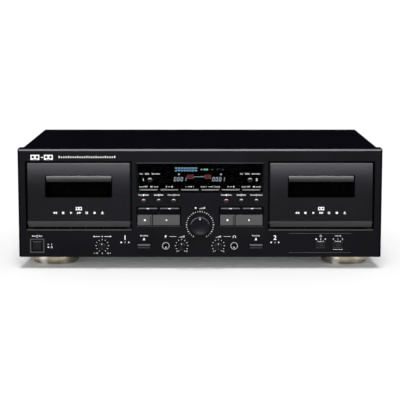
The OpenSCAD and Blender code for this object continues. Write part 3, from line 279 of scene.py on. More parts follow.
dustColour = (0.35, 0.34, 0.32)
blueBlack = (0.82, 0.84, 1.5)
coolGrey = (0.97, 0.97, 1.04)
finishes = {  # relief is a bump's strength, and its depth in millimetres
    "panelBlack": tone(grey(0.0014, 0.0021, blueBlack), (0.3, 0.36), 0.06, relief=(0.25, 0.04),
                       shine=(0.94, 0.91, 1)),
    # painted highlight: a lighter, glossier copy of the panel black, for lit edges and the lines along them
    "panelEdge": tone(grey(0.042, 0.052, (0.92, 0.94, 1.12)), (0.2, 0.26), 0.46, relief=(0.1, 0.02)),
    "coverPaint": tone(grey(0.0042, 0.0056, (0.97, 0.95, 1.2)), (0.42, 0.5), 0.13, grain=1500,
                       relief=(0.4, 0.06)),
    # painted shade: a darker, matt copy of the cover paint for the cover's top and the panel's top and ends
    "coverMatt": tone(grey(0.003, 0.0039, (0.92, 0.86, 1.5)), (0.7, 0.8), 0, grain=1500,
                      relief=(0.5, 0.08), dust=0.001),
    "chassisZinc": tone(grey(0.5, 0.62, (0.97, 1, 1.02)), (0.34, 0.46), 0.5, relief=(0.12, 0.03),
                        patch=60, metal=1, lines=(30, 900, 900)),
    "rearPaint": tone(grey(0.010, 0.014), (0.5, 0.6), 0.12, grain=1800, relief=(0.4, 0.06)),
    "jackNickel": tone(grey(0.38, 0.46), (0.2, 0.28), 0.5, grain=900, relief=(0.05, 0.02), metal=1),
    "screwBlack": tone(grey(0.03, 0.045), (0.3, 0.4), 0.35, grain=1500, relief=(0.15, 0.03)),
    "socketBlack": tone(grey(0.012, 0.016), (0.38, 0.46), 0.25, grain=1800, relief=(0.2, 0.04)),
    "contactGold": tone(((0.75, 0.56, 0.26), (0.83, 0.64, 0.32)), (0.2, 0.3), 0.5, grain=900,
                        relief=(0.05, 0.02), metal=1),
    "boardGreen": tone(((0.02, 0.09, 0.035), (0.03, 0.12, 0.05)), (0.3, 0.42), 0.4, grain=700,
                       relief=(0.3, 0.05), patch=220),
    "componentBlack": tone(grey(0.015, 0.025), (0.35, 0.5), 0.35, grain=1400, relief=(0.2, 0.04), patch=80),
    "sinkAlloy": tone(grey(0.55, 0.65), (0.35, 0.45), 0.5, relief=(0.15, 0.03), metal=1,
                      lines=(900, 900, 20)),
    "coreIron": tone(grey(0.10, 0.15), (0.42, 0.55), 0.4, relief=(0.4, 0.1), lines=(8, 2400, 8)),
    "coilTape": tone(((0.42, 0.22, 0.06), (0.5, 0.29, 0.09)), (0.3, 0.42), 0.4, grain=700,
                     relief=(0.2, 0.05)),
    "wellPlastic": tone(grey(0.010, 0.014), (0.5, 0.6), 0.2, grain=1600, relief=(0.35, 0.06)),
    "motorSteel": tone(grey(0.5, 0.6), (0.25, 0.36), 0.5, relief=(0.1, 0.03), metal=1,
                       lines=(700, 12, 700)),
    "doorSatin": tone(grey(0.001, 0.0016, blueBlack), (0.24, 0.28), 0.12, shine=(0.92, 0.9, 1)),
    # painted reflection of the floor: a lighter grey on the door's down-facing lip
    "doorLip": tone(grey(0.042, 0.05, (1.02, 1, 0.96)), (0.4, 0.46), 0.12),
    "holderPlastic": tone(grey(0.014, 0.02), (0.45, 0.55), 0.2, grain=1600, relief=(0.3, 0.05)),
    "reelIvory": tone(((0.62, 0.61, 0.56), (0.7, 0.69, 0.64)), (0.36, 0.46), 0.45, grain=1500,
                      relief=(0.15, 0.04)),
    "flywheelSteel": tone(grey(0.6, 0.7), (0.2, 0.3), 0.5, grain=900, relief=(0.08, 0.02), metal=1),
    "headSteel": tone(grey(0.5, 0.6), (0.22, 0.32), 0.5, grain=1200, relief=(0.08, 0.02), metal=1),
    "rollerRubber": tone(grey(0.012, 0.018), (0.62, 0.72), 0.25, grain=2200, relief=(0.4, 0.05)),
    "keyDark": tone(grey(0.0016, 0.0023, blueBlack), (0.32, 0.4), 0.02),
    "keyGrey": tone(grey(0.053, 0.062), (0.36, 0.44), 0.2),
    "powerFace": tone(grey(0.0042, 0.0056), (0.34, 0.42), 0.08),
    "buttonGrey": tone(grey(0.0105, 0.014), (0.3, 0.36), 0.06, relief=(0.15, 0.03)),
    # painted highlight on the upper side of the domed buttons
    "buttonGlint": tone(grey(0.53, 0.64), (0.14, 0.18), 0.9, relief=(0.1, 0.02)),
    "recordRed": tone(((0.028, 0.014, 0.017), (0.034, 0.018, 0.021)), (0.3, 0.36), 0.06,
                      relief=(0.15, 0.03)),
    # painted highlight on the upper side of the record button's dome
    "recordGlint": tone(((0.56, 0.42, 0.46), (0.64, 0.48, 0.53)), (0.14, 0.18), 0.7, relief=(0.1, 0.02)),
    "modeGrey": tone(grey(0.23, 0.285), (0.34, 0.42), 0.35, relief=(0.15, 0.03)),
    "knobBlack": tone(grey(0.005, 0.007, blueBlack), (0.3, 0.38), 0.09, relief=(0.15, 0.03)),
    "knobRim": tone(grey(0.0105, 0.014, blueBlack), (0.22, 0.28), 0.6, relief=(0.1, 0.02)),
    # painted highlight on the upper part of the knobs' rims
    "knobGlint": tone(grey(0.195, 0.25), (0.16, 0.2), 0.8, relief=(0.1, 0.02)),
    "switchBlack": tone(grey(0.007, 0.0105), (0.36, 0.44), 0.09, grain=2400),
    "inkWhite": tone(grey(0.78, 0.86), (0.45, 0.55), 0.3, grain=3000, relief=(0.1, 0.01), patch=400),
    # painted highlight: a lighter grey for lit edges and bevels
    "edgeGrey": tone(grey(0.046, 0.058, coolGrey), (0.26, 0.34), 0.12, relief=(0.1, 0.02)),
    # painted highlight on the winding keys' upper slopes
    "slopeGrey": tone(grey(0.088, 0.11, coolGrey), (0.26, 0.34), 0.2, relief=(0.1, 0.02)),
    "plateDark": tone(grey(0.018, 0.026), (0.34, 0.46), 0.3, grain=1200, relief=(0.15, 0.03)),
    "studioFloor": tone(grey(0.92, 0.95), (0.88, 0.95), 0.02, grain=60, relief=(0.05, 0.1), patch=0.6),
    "padFelt": tone(grey(0.02, 0.035), (0.8, 0.95), 0.1, grain=1500, relief=(0.8, 0.2)),
    "ringWhite": tone(grey(0.7, 0.78), (0.35, 0.45), 0.4, grain=1800, relief=(0.1, 0.03)),
    "ringRed": tone(((0.5, 0.03, 0.03), (0.58, 0.05, 0.05)), (0.35, 0.45), 0.4, grain=1800,
                    relief=(0.1, 0.03)),
    # black for masks, ink holes and borders, and also painted shade where parts lie in shade
    "maskBlack": tone(grey(0.001, 0.0018), (0.8, 0.9), 0, grain=2000),
}


def makeFinish(name, colours, rough, gloss, grain=2600, relief=(0.2, 0.03), patch=25, metal=0, dust=0,
               lines=None, shine=(1, 1, 1)):
    tree, shader = startMaterial(name)
    if lines:
        effect = addEffect(tree, drawnLines, Stretch=lines, Patch=patch)
    else:
        effect = addEffect(tree, mouldedGrain, Grain=grain, Patch=patch)
    colour = patchy(tree, effect["Patches"], colours)
    if dust:
        colour = mixColour(tree, addEffect(tree, dustFilm, Amount=dust)["Mask"], colour, dustColour)
    setShader(tree, shader, {
        "Base Color": colour,
        "Roughness": spread(tree, effect["Patches"], *rough),
        "Specular IOR Level": gloss,
        "Specular Tint": (*shine, 1),
        "Metallic": metal,
    })
    bump(tree, shader, effect["Height"], *relief)


turnedFoot = {
    "stretch": (40, 40, 5200), "patch": 45, "rough": (0.2, 0.28), "relief": (0.18, 0.04),
    "tones": {"dark": (0.17, 0.15, 0.11), "mid": (0.36, 0.32, 0.24), "light": (0.62, 0.57, 0.47),
              "bright": (0.95, 0.91, 0.83)},
    # painted reflection bands in the metal's colour: degrees to the left and right of the front
    "paintedReflectionBands": ((-110, "mid"), (-75, "dark"), (-42, "mid"), (-31, "bright"), (-24, "bright"), (-14, "mid"),
              (12, "mid"), (28, "light"), (44, "mid"), (75, "dark"), (110, "mid")),
}


def makeFootMetal():
    # turned champagne metal: fine rings round the upright axis, and painted reflection bands in its colour
    # by the way it faces
    look = turnedFoot
    tree, shader = startMaterial("footMetal")
    effect = addEffect(tree, drawnLines, Stretch=look["stretch"], Patch=look["patch"])
    split = addNode(tree, "SeparateXYZ", {"Vector": addNode(tree, "TexCoord").outputs["Normal"]})
    front = calculate(tree, "MULTIPLY", split.outputs["Y"], -1)
    turn = calculate(tree, "ARCTAN2", split.outputs["X"], front)
    share = addNode(tree, "MapRange", {"Value": turn, "From Min": -math.pi, "From Max": math.pi})
    paintedReflectionBands = addNode(tree, "ValToRGB", {"Fac": share.outputs["Result"]})
    ramp = paintedReflectionBands.color_ramp.elements
    ramp[0].color = ramp[1].color = (*look["tones"]["mid"], 1)
    for angle, name in look["paintedReflectionBands"]:
        ramp.new(angle / 360 + 0.5).color = (*look["tones"][name], 1)
    setShader(tree, shader, {
        "Base Color": paintedReflectionBands.outputs["Color"],
        "Roughness": spread(tree, effect["Patches"], *look["rough"]),
        "Metallic": 1,
    })
    bump(tree, shader, effect["Height"], *look["relief"])


smokedPlastics = {
    "smokedLens": {"tint": grey(0.2, 0.22), "bending": 1.08, "smear": (0.015, 0.025)},
    "smokedPane": {"tint": grey(0.018, 0.022), "bending": 1.055, "smear": (0.02, 0.035)},
    "smokedBend": {"tint": grey(0.02, 0.024), "bending": 1.27, "smear": (0.2, 0.24)},
}


def makeSmokedPlastic(name, tint, bending, smear):
    # clear plastic with a dark tint, with faint wiping marks in its gloss
    tree, shader = startMaterial(name)
    patches = addEffect(tree, mouldedGrain, Grain=400, Patch=18)["Patches"]
    setShader(tree, shader, {
        "Base Color": patchy(tree, patches, tint),
        "Roughness": spread(tree, patches, *smear),
        "Transmission Weight": 1,
        "IOR": bending,
    })


glows = {
    "glowBlue": ((0.42, 0.78, 1.0), 4.6), "glowWhite": ((0.74, 0.86, 1.0), 4.4),
    "glowRed": ((1.0, 0.22, 0.26), 0.85), "glowDeep": ((0.08, 0.3, 0.8), 1.5),
    "glowGreen": ((0.35, 1.0, 0.8), 4), "glowDim": ((0.5, 0.6, 0.62), 1),
}
glowDip = 0.75  # the phosphor's darker grain


def makeGlow(name, colour, strength):
    # lit phosphor: its grain shows as a faint change of brightness
    tree, shader = startMaterial(name)
    patches = addEffect(tree, mouldedGrain, Grain=6000, Patch=900)["Patches"]
    dim = tuple(c * glowDip for c in colour)
    setShader(tree, shader, {
        "Emission Color": mixColour(tree, patches, dim, colour),
        "Emission Strength": strength,
        "Base Color": (*dim, 1),
        "Roughness": 0.6,
    })


turnedFace = {"colours": grey(0.0034, 0.0048, blueBlack), "rough": (0.26, 0.34), "gloss": 0.07,
              "pitch": 21000, "patch": 120, "grain": 2600, "relief": (0.35, 0.02)}


def makeTurnedFace(name, x, z):
    # a knob's turned face, with rings about the knob's own axis
    look = turnedFace
    tree, shader = startMaterial(name)
    place = addNode(tree, "TexCoord").outputs["Object"]
    middle = addNode(tree, "Mapping", {"Vector": place, "Location": (-x, 0, -z), "Scale": (1, 0, 1)})
    rings = addEffect(tree, turnedRings, Place=middle.outputs["Vector"], Pitch=look["pitch"])
    patches = addEffect(tree, mouldedGrain, Grain=look["grain"], Patch=look["patch"])["Patches"]
    setShader(tree, shader, {
        "Base Color": patchy(tree, patches, look["colours"]),
        "Roughness": spread(tree, patches, *look["rough"]),
        "Specular IOR Level": look["gloss"],
    })
    bump(tree, shader, rings["Height"], *look["relief"])


for name, look in finishes.items():
    makeFinish(name, **look)
makeFootMetal()
for name, look in smokedPlastics.items():
    makeSmokedPlastic(name, **look)
for name, (colour, strength) in glows.items():
    makeGlow(name, colour, strength)
print("materials made:", len(materials))


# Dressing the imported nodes

softEdge = {"segments": 2, "angle": 32, "weight": 80}


def soften(node, width):
    # a small rounded edge for the light to catch
    weld = node.modifiers.new("weld", "WELD")
    weld.merge_threshold = tiny
    edge = node.modifiers.new("edge", "BEVEL")
    edge.width = width * mm
    edge.segments = softEdge["segments"]
    edge.limit_method = "ANGLE"
    edge.angle_limit = math.radians(softEdge["angle"])
    edge.use_clamp_overlap = True
    edge.harden_normals = False
    shade = node.modifiers.new("shade", "WEIGHTED_NORMAL")
    shade.keep_sharp = False
    shade.weight = softEdge["weight"]


def dress(name, finish, edge):
    node = nodes[name]
    node.data.materials.clear()
    node.data.materials.append(materials[finish])
    if edge:
        soften(node, edge)


def paintFaces(name, finish, chosen):
    # a second finish for the faces whose centre, in millimetres, and normal pass the test
    mesh = nodes[name].data
    mesh.materials.append(materials[finish])
    slot = len(mesh.materials) - 1
    for face in mesh.polygons:
        if chosen(face.center / mm, face.normal):
            face.material_index = slot


def both(*names):
    return [f"{name}_{deck}" for name in names for deck in decks]


def corners(node):
    # a node's lowest and highest corners, in millimetres
    return [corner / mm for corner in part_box(node)]


dressing = {  # the nodes of each finish, and the width of their soft edges
    "panelBlack": (["front_panel"], 0.2),
    "coverPaint": (["top_cover"], 0),
    "chassisZinc": (["chassis"], 0),
    "rearPaint": (["rear_panel"], 0),
    "smokedLens": (["display_window"], 0),
    "jackNickel": (["jack_sockets"], 0),
    "socketBlack": (["rear_sockets"], 0.2),
    "boardGreen": (["control_boards", "main_board"], 0),
    "coreIron": (["power_transformer"], 0.3),
    "wellPlastic": (both("transport_frame"), 0),
    "motorSteel": (["motor_drives"], 0),
    "doorSatin": (both("door"), 0),
    "holderPlastic": (both("cassette_holder"), 0.15),
    "reelIvory": (both("supply_reel", "take_up_reel"), 0.1),
    "flywheelSteel": (both("capstan_flywheel"), 0.1),
    "headSteel": (both("head_carriage"), 0.15),
    "powerFace": (["power_button"], 0.12),
    "keyDark": (both("eject_button", "rewind_key", "fast_forward_key"), 0.12),
    "keyGrey": (both("stop_key", "play_key"), 0.12),
    "modeGrey": ([f"mode_key_{place}" for place in range(1, 7)], 0.1),
    "switchBlack": (["timer_switch", "filter_switch"], 0.12),
}
limits = {  # where second finishes begin and end, in millimetres
    "chamfer": 2.6, "topEdge": 0.1, "rim": 3, "bayFloor": 49, "bayFrom": 70, "bayGap": 0.6, "lip": 7.9,
    "sump": 54, "headPlate": 62, "headBase": 57, "rollerX": 73, "rollerY": -111.2,
    "tubeHalf": 76, "tubeLow": 91, "slots": 12, "jackRing": 0.6, "board": 1.65, "sink": 73,
    "coilHalf": 21.1, "coreBase": 2.1,
}


def paintPanel():
    end = limits
    top = corners("front_panel")[1].z
    rim = cadHigh.x / mm - end["rim"]
    ringFront = corners("jack_sockets")[0].y
    # painted highlight on the panel's upper chamfer
    paintFaces("front_panel", "panelEdge",
               lambda c, n: n.y < -0.6 and n.z > 0.6 and c.z > top - end["chamfer"])
    # painted shade: the cover's top, and the panel's top and outer ends, take the darker matt copy of the
    # paint
    paintFaces("top_cover", "coverMatt", lambda c, n: n.z > 0.98)
    paintFaces("front_panel", "coverMatt",
               lambda c, n: n.z > 0.9 and c.z > top - end["topEdge"] or abs(n.x) > 0.6 and abs(c.x) > rim)
    # painted shade on the floor of each bay
    paintFaces("front_panel", "maskBlack",
               lambda c, n: n.z > 0.95 and abs(c.z - end["bayFloor"]) < end["bayGap"]
               and abs(c.x) > end["bayFrom"])
    # painted highlight on the power button's upper bevel
    paintFaces("power_button", "edgeGrey", lambda c, n: n.y < -0.3 and n.z > 0.3)
    paintFaces("jack_sockets", "wellPlastic", lambda c, n: c.y > ringFront + end["jackRing"])


def paintDeck(deck):
    end = limits
    low = corners(f"door_{deck}")[0]
    head = f"head_carriage_{deck}"
    # painted reflection of the floor on the door's down-facing lip
    paintFaces(f"door_{deck}", "doorLip",
               lambda c, n: n.y < -0.6 and n.z < -0.3 and c.z < low.z + end["lip"])
    # painted shade at the bottom of the transport frame
    paintFaces(f"transport_frame_{deck}", "maskBlack", lambda c, n: c.z < end["sump"])
    paintFaces(head, "plateDark", lambda c, n: c.z < end["headPlate"])
    paintFaces(head, "rollerRubber", lambda c, n: c.y < end["rollerY"] and c.x > low.x + end["rollerX"])
    # painted shade on the front of the head carriage's base
    paintFaces(head, "maskBlack", lambda c, n: n.y < -0.5 and c.z < end["headBase"])
    # painted highlights on the eject button's upper and lower bevels
    paintFaces(f"eject_button_{deck}", "edgeGrey", lambda c, n: n.y < -0.3 and abs(n.z) > 0.3)


def paintInside():
    # painted shade: black round the display tube and behind the switch slots; then parts on the boards
    end = limits
    slotsFrom = corners("timer_switch")[0].x - end["slots"]
    low = corners("main_board")[0]
    top = low.z + end["board"]
    coreLow, coreHigh = corners("power_transformer")
    middle = (coreLow.x + coreHigh.x) / 2
    paintFaces("control_boards", "maskBlack",
               lambda c, n: abs(c.x) < end["tubeHalf"] and c.z > end["tubeLow"] or c.x > slotsFrom)
    paintFaces("main_board", "componentBlack", lambda c, n: c.z > top)
    paintFaces("main_board", "sinkAlloy", lambda c, n: c.z > top and c.y > low.y + end["sink"])
    paintFaces("power_transformer", "coilTape",
               lambda c, n: abs(c.x - middle) < end["coilHalf"] and c.z > coreLow.z + end["coreBase"])


for finish, (names, edge) in dressing.items():
    for name in names:
        dress(name, finish, edge)
paintPanel()
for deck in decks:
    paintDeck(deck)
paintInside()
print("packed nodes dressed")


# Making and printing new pieces

inkDepth = 0.05 * mm


def plainObject(name, bm):
    bmesh.ops.recalc_face_normals(bm, faces=bm.faces[:])
    mesh = bpy.data.meshes.new(name)
    bm.to_mesh(mesh)
    bm.free()
    made = bpy.data.objects.new(name, mesh)
    bpy.context.scene.collection.objects.link(made)
    return made


def smoothObject(name, bm, finish, sharp):
    made = plainObject(name, bm)
    for face in made.data.polygons:
        face.use_smooth = True
    made.data.set_sharp_from_angle(angle=math.radians(sharp))
    for one in [finish] if isinstance(finish, str) else finish:
        made.data.materials.append(materials[one])
    return made


def addPiece(name, bm, finish, body, sharp=35):
    piece = smoothObject(name, bm, finish, sharp)
    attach(piece, body)
    return piece


def moveAll(bm, x, y, z):
    bmesh.ops.translate(bm, verts=bm.verts[:], vec=(x, y, z))


def turnAll(bm, angle, axis):
    bmesh.ops.rotate(bm, verts=bm.verts[:], cent=(0, 0, 0), matrix=Matrix.Rotation(angle, 3, axis))


def standUp(bm, x, y, z):
    # what was drawn flat, with X across and Y up, stands on a face that looks to the front
    turnAll(bm, math.pi / 2, "X")
    moveAll(bm, x, y, z)


def lifted(made):
    return [item for item in made["geom"] if isinstance(item, bmesh.types.BMVert)]


def thicken(bm, depth):
    made = bmesh.ops.extrude_face_region(bm, geom=bm.faces[:])
    bmesh.ops.translate(bm, verts=lifted(made), vec=(0, 0, depth))


def join(bm, one):
    mesh = bpy.data.meshes.new("join")
    one.to_mesh(mesh)
    one.free()
    bm.from_mesh(mesh)
    bpy.data.meshes.remove(mesh)


def printMarks(name, bm, y, finish, body):
    # a thin raised layer of ink
    thicken(bm, inkDepth)
    standUp(bm, 0, y, 0)
    addPiece(name, bm, finish, body, sharp=20)


def printSloping(name, bm, depth, place, finish, body):
    # ink on an edge that is cut at 45 degrees
    thicken(bm, depth)
    standUp(bm, 0, 0, 0)
    turnAll(bm, -math.pi / 4, "X")
    moveAll(bm, *place)
    addPiece(name, bm, finish, body, sharp=20)


def at(x, z, turn=0):
    return Matrix.Translation((x * mm, z * mm, 0)) @ Matrix.Rotation(math.radians(turn), 4, "Z")


def bar(bm, x, z, w, h, turn=0):
    size = Matrix.Diagonal((w * mm, h * mm, 1, 1))
    bmesh.ops.create_grid(bm, x_segments=1, y_segments=1, size=0.5, matrix=at(x, z, turn) @ size)


def disc(bm, x, z, r, segments=20):
    bmesh.ops.create_circle(bm, cap_ends=True, segments=segments, radius=r * mm, matrix=at(x, z))


def triangle(bm, x, z, size, turn=0):
    # a triangle that points up, or to the left after a quarter turn
    bmesh.ops.create_circle(bm, cap_ends=True, segments=3, radius=size * 0.58 * mm, matrix=at(x, z, turn))


def arc(bm, x, z, r, width, start=0, sweep=360, steps=28):
    low = bm.verts.new(((r - width) * mm, 0, 0))
    high = bm.verts.new((r * mm, 0, 0))
    edge = bm.edges.new((low, high))
    begin = Matrix.Rotation(math.radians(start), 3, "Z")
    bmesh.ops.rotate(bm, verts=[low, high], cent=(0, 0, 0), matrix=begin)
    bmesh.ops.translate(bm, verts=[low, high], vec=(x * mm, z * mm, 0))
    bmesh.ops.spin(bm, geom=[low, high, edge], cent=(x * mm, z * mm, 0), axis=(0, 0, 1),
                   angle=math.radians(sweep), steps=steps, use_merge=sweep == 360)


def frameMark(bm, x, z, w, h, width):
    bar(bm, x, z + (h - width) / 2, w, width)
    bar(bm, x, z - (h - width) / 2, w, width)
    bar(bm, x - (w - width) / 2, z, width, h - 2 * width)
    bar(bm, x + (w - width) / 2, z, width, h - 2 * width)


def numeral(bm, text, x, z, height, weight=0.0):
    curve = bpy.data.curves.new("numeral", "FONT")
    curve.body = text
    curve.size = height * 1.4 * mm  # the font's numerals fill 1 / 1.4 of its size
    curve.offset = weight * mm
    curve.align_x = "CENTER"
    curve.align_y = "CENTER"
    curve.resolution_u = 4
    holder = bpy.data.objects.new("numeral", curve)
    bpy.context.scene.collection.objects.link(holder)
    bpy.context.view_layer.update()
    mesh = bpy.data.meshes.new_from_object(holder)
    mesh.transform(at(x, z))
    bm.from_mesh(mesh)
    bpy.data.objects.remove(holder)
    bpy.data.meshes.remove(mesh)


def playMark(bm, x, z, size, way=1):
    triangle(bm, x, z, size, -90 * way)


def windMark(bm, x, z, size, way=1):
    for place in (-0.42, 0.42):
        playMark(bm, x + place * size, z, size, way)


def stopMark(bm, x, z, size):
    bar(bm, x, z, size, size)


def pauseMark(bm, x, z, size):
    for side in sides:
        bar(bm, x + side * 0.28 * size, z, 0.32 * size, size)


def recordMark(bm, x, z, size):
    disc(bm, x, z, size / 2)


def muteMark(bm, x, z, size):
    arc(bm, x, z, size / 2, 0.16 * size)


def ejectMark(bm, x, z, size):
    triangle(bm, x, z + 0.1 * size, size)
    bar(bm, x, z - 0.42 * size, size, 0.18 * size)


def levelMark(bm, x, z, w, h, count=5):
    # bars that grow to the right stand for a level
    for place in range(count):
        tall = h * (place + 1) / count
        bar(bm, x + w * (place / (count - 1) - 0.5), z - (h - tall) / 2, 0.6 * w / count, tall)


def microphoneMark(bm, x, z, size):
    disc(bm, x, z + 0.22 * size, 0.3 * size)
    arc(bm, x, z + 0.18 * size, 0.5 * size, 0.12 * size, 180, 180, 14)
    bar(bm, x, z - 0.45 * size, 0.12 * size, 0.3 * size)


def headphoneMark(bm, x, z, size):
    arc(bm, x, z - 0.1 * size, 0.55 * size, 0.13 * size, 0, 180, 16)
    for side in sides:
        bar(bm, x + side * 0.46 * size, z - 0.25 * size, 0.28 * size, 0.5 * size)


def powerMark(bm, x, z, size):
    arc(bm, x, z - 0.05 * size, 0.5 * size, 0.13 * size, 125, 290, 24)
    bar(bm, x, z + 0.28 * size, 0.13 * size, 0.55 * size)


def arrowMark(bm, x, z, length, size, way=1):
    bar(bm, x - way * 0.2 * size, z, length - 0.6 * size, 0.24 * size)
    playMark(bm, x + way * (length / 2 - 0.4 * size), z, size, way)


def cassetteMark(bm, holes, x, z, w, h):
    # a solid cassette, whose reel holes and lower step go on top in a dark ink
    bar(bm, x, z, w, h)
    for side in sides:
        disc(holes, x + side * 0.24 * w, z + 0.06 * h, 0.25 * h, 18)
    bar(holes, x, z - 0.4 * h, 0.5 * w, 0.09 * h)


longTick = 1.35


def tickStrip(bm, x, z, w, count, tick):
    # a short ruler, with every fourth tick longer
    for place in range(count):
        tall = tick[0] * (1 if place % 4 else longTick)
        bar(bm, x + w * (place / (count - 1) - 0.5), z + (tall - tick[0]) / 2, tick[1], tall)


def tickPair(bm, x, z, side, w, count, tick):
    for way in sides:
        tickStrip(bm, x + way * side, z, w, count, tick)


def tickRing(bm, x, z, r, count, tick, sweep, longEvery=0):
    for place in range(count):
        turn = sweep / 2 - place * sweep / (count - 1)
        long = longTick if longEvery and place % longEvery == 0 else 1
        a = math.radians(turn + 90)
        bar(bm, x + r * math.cos(a), z + r * math.sin(a), tick[1] * long, tick[0] * long, turn)


def centre(node):
    low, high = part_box(node)
    return (low.x + high.x) / 2 / mm, (low.z + high.z) / 2 / mm


# Marks on the front panel, in millimetres: X from the middle, Z from the floor

panelMarks = {
    "symbol": 2.3, "strip": (1.3, 0.55),
    "labelRise": 11.1,  # labels above the lower row's controls
    "levelRing": {"r": 16.1, "count": 31, "tick": (1.15, 0.55), "sweep": 300, "longEvery": 3},
    "smallRing": {"r": 7.4, "count": 11, "tick": (1.3, 0.55), "sweep": 300},
    "level": {"rise": 20.6, "recordX": -5.2, "record": 0.9, "barsX": 2.4, "bars": 6.4},
    "small": {"numeral": 1.7, "drop": 6.9, "zeroX": -5.6, "tenX": 5.8, "bars": 5.6, "dashX": 10.6,
              "dash": (8.2, 0.35), "signX": 19.2, "sign": 1.3},
    "pitch": {"numeral": 1.9, "drop": 9.4, "numeralX": 6.6, "arrowX": 6.5, "arrow": 8.5, "head": 0.9,
              "signX": 9.6, "sign": (1.3, 0.32), "dot": 0.7},
    "deck": {"x": 90, "rise": 9.5, "height": 5.4, "weight": 0.16, "signRise": 4, "signX": 4.6,
             "record": 0.85, "slash": 0.35, "lean": -20},
    "eject": {"rise": 7.9, "sign": 1.2, "stripRise": 12, "strip": 8, "ticks": 7},
    "round": {"rise": 7.1, "gap": 2.2, "ticks": 4},
    "power": {"rise": 0.6, "sign": 1.25, "stripX": 4.2, "stripRise": 0.4, "strip": 3, "ticks": 4,
              "bars": ((13.4, 1.5, 1.9, 0.5), (17.4, 1.5, 0.4, 2.1), (13.4, -1.9, 1.9, 1.3)),
              "ring": (17.4, -1.9, 1.05, 0.4)},
    "title": {"x": -188.5, "z": 135.4, "cassette": (10.6, 6.2), "side": 8, "arrow": (3.2, 2.2)},
    "scale": {"x": -134.6, "rise": 0.2, "w": 66, "count": 25, "tick": (1.9, 1.25)},
}
roundButtons = (("record_button", recordMark, 3.4), ("pause_button", pauseMark, 2.8),
                ("mute_button", muteMark, 4.4))


def markLevel(bm, size):
    look = panelMarks["level"]
    x, z = centre("record_level_knob")
    tickRing(bm, x, z, **panelMarks["levelRing"])
    recordMark(bm, x + look["recordX"], z + look["rise"], size * look["record"])
    levelMark(bm, x + look["barsX"], z + look["rise"], look["bars"], size)


def markSmall(bm, size, node, side, sign):
    look = panelMarks["small"]
    x, z = centre(node)
    label = z + panelMarks["labelRise"]
    tickRing(bm, x, z, **panelMarks["smallRing"])
    numeral(bm, "0", x + look["zeroX"], z - look["drop"], look["numeral"])
    numeral(bm, "10", x + look["tenX"], z - look["drop"], look["numeral"])
    levelMark(bm, x, label, look["bars"], size)
    bar(bm, x + side * look["dashX"], label, *look["dash"])
    sign(bm, x + side * look["signX"], label, size * look["sign"])


def markPitch(bm, size):
    look = panelMarks["pitch"]
    x, z = centre("pitch_knob")
    label = z + panelMarks["labelRise"]
    under = z - look["drop"]
    tickRing(bm, x, z, **panelMarks["smallRing"])
    for side in sides:
        arrowMark(bm, x + side * look["arrowX"], label, look["arrow"], size * look["head"], side)
        numeral(bm, "10", x + side * look["numeralX"], under, look["numeral"])
        bar(bm, x + side * look["signX"], under, *look["sign"])
    bar(bm, x + look["signX"], under, *reversed(look["sign"]))
    disc(bm, x, label, look["dot"])
    numeral(bm, "0", x, under, look["numeral"])


def markDeck(bm, size, deck):
    look = panelMarks["deck"]
    x = sides[deck - 1] * look["x"]
    z = centre("pitch_knob")[1]
    row = z + look["signRise"]
    numeral(bm, str(deck), x, z + look["rise"], look["height"], look["weight"])
    recordMark(bm, x - look["signX"], row, size * look["record"])
    bar(bm, x, row, look["slash"], size, look["lean"])
    playMark(bm, x + look["signX"], row, size)
    look = panelMarks["eject"]
    x, z = centre(f"eject_button_{deck}")
    ejectMark(bm, x, z + look["rise"], size * look["sign"])
    tickStrip(bm, x, z + look["stripRise"], look["strip"], look["ticks"], panelMarks["strip"])
    look = panelMarks["round"]
    for node, mark, wide in roundButtons:
        x, z = centre(f"{node}_{deck}")
        row = z + look["rise"]
        mark(bm, x, row, size)
        tickPair(bm, x, row, wide / 2 + look["gap"], wide, look["ticks"], panelMarks["strip"])


def markPower(bm, size):
    look = panelMarks["power"]
    x, z = centre("power_button")
    label = z + panelMarks["labelRise"]
    powerMark(bm, x, label + look["rise"], size * look["sign"])
    tickPair(bm, x, label + look["stripRise"], look["stripX"], look["strip"], look["ticks"],
             panelMarks["strip"])
    for across, up, w, h in look["bars"]:
        bar(bm, x + across, z + up, w, h)
    across, up, r, width = look["ring"]
    arc(bm, x + across, z + up, r, width)


def printPanel():
    size = panelMarks["symbol"]
    bm = bmesh.new()
    markLevel(bm, size)
    markSmall(bm, size, "mic_level_knob", -1, microphoneMark)
    markSmall(bm, size, "phones_level_knob", 1, headphoneMark)
    markPitch(bm, size)
    for deck in decks:
        markDeck(bm, size, deck)
    markPower(bm, size)
    title, scale = panelMarks["title"], panelMarks["scale"]
    holes = bmesh.new()
    for side in sides:
        cassetteMark(bm, holes, title["x"] + side * title["side"], title["z"], *title["cassette"])
    printMarks("panel_mark_holes", holes, frontY - inkDepth, "maskBlack", "case")
    arrowMark(bm, title["x"], title["z"], *title["arrow"])
    tickStrip(bm, scale["x"], title["z"] + scale["rise"], scale["w"], scale["count"], scale["tick"])
    printMarks("panel_marks", bm, frontY, "inkWhite", "case")


printPanel()

shelfDepth = 0.6 * mm  # the sunk field around the switches
switches = ("timer_switch", "filter_switch")
trim = {
    "bezel": 17.3, "bezelRim": 1.5, "sillDrop": 2.9, "sill": (124.6, 0.9), "lensTop": 128.7,
    "lensLine": (151, 0.5), "shelfX": 144, "shelfZ": 32, "shelfRise": 11.65, "shelfLine": (75, 0.42),
    "slotRise": 3.5, "slotLine": (11.4, 0.5), "chamferShade": (432.4, 0.8),
    "jackX": 40.996, "jackZ": 28.8, "jackRings": ((4.82, 0.45), (3.66, 0.33)), "jackBore": 3.3,
    "jackTab": (1.3, 1.7), "jackTabDepth": 2.4, "jackTabThick": 0.4,
}


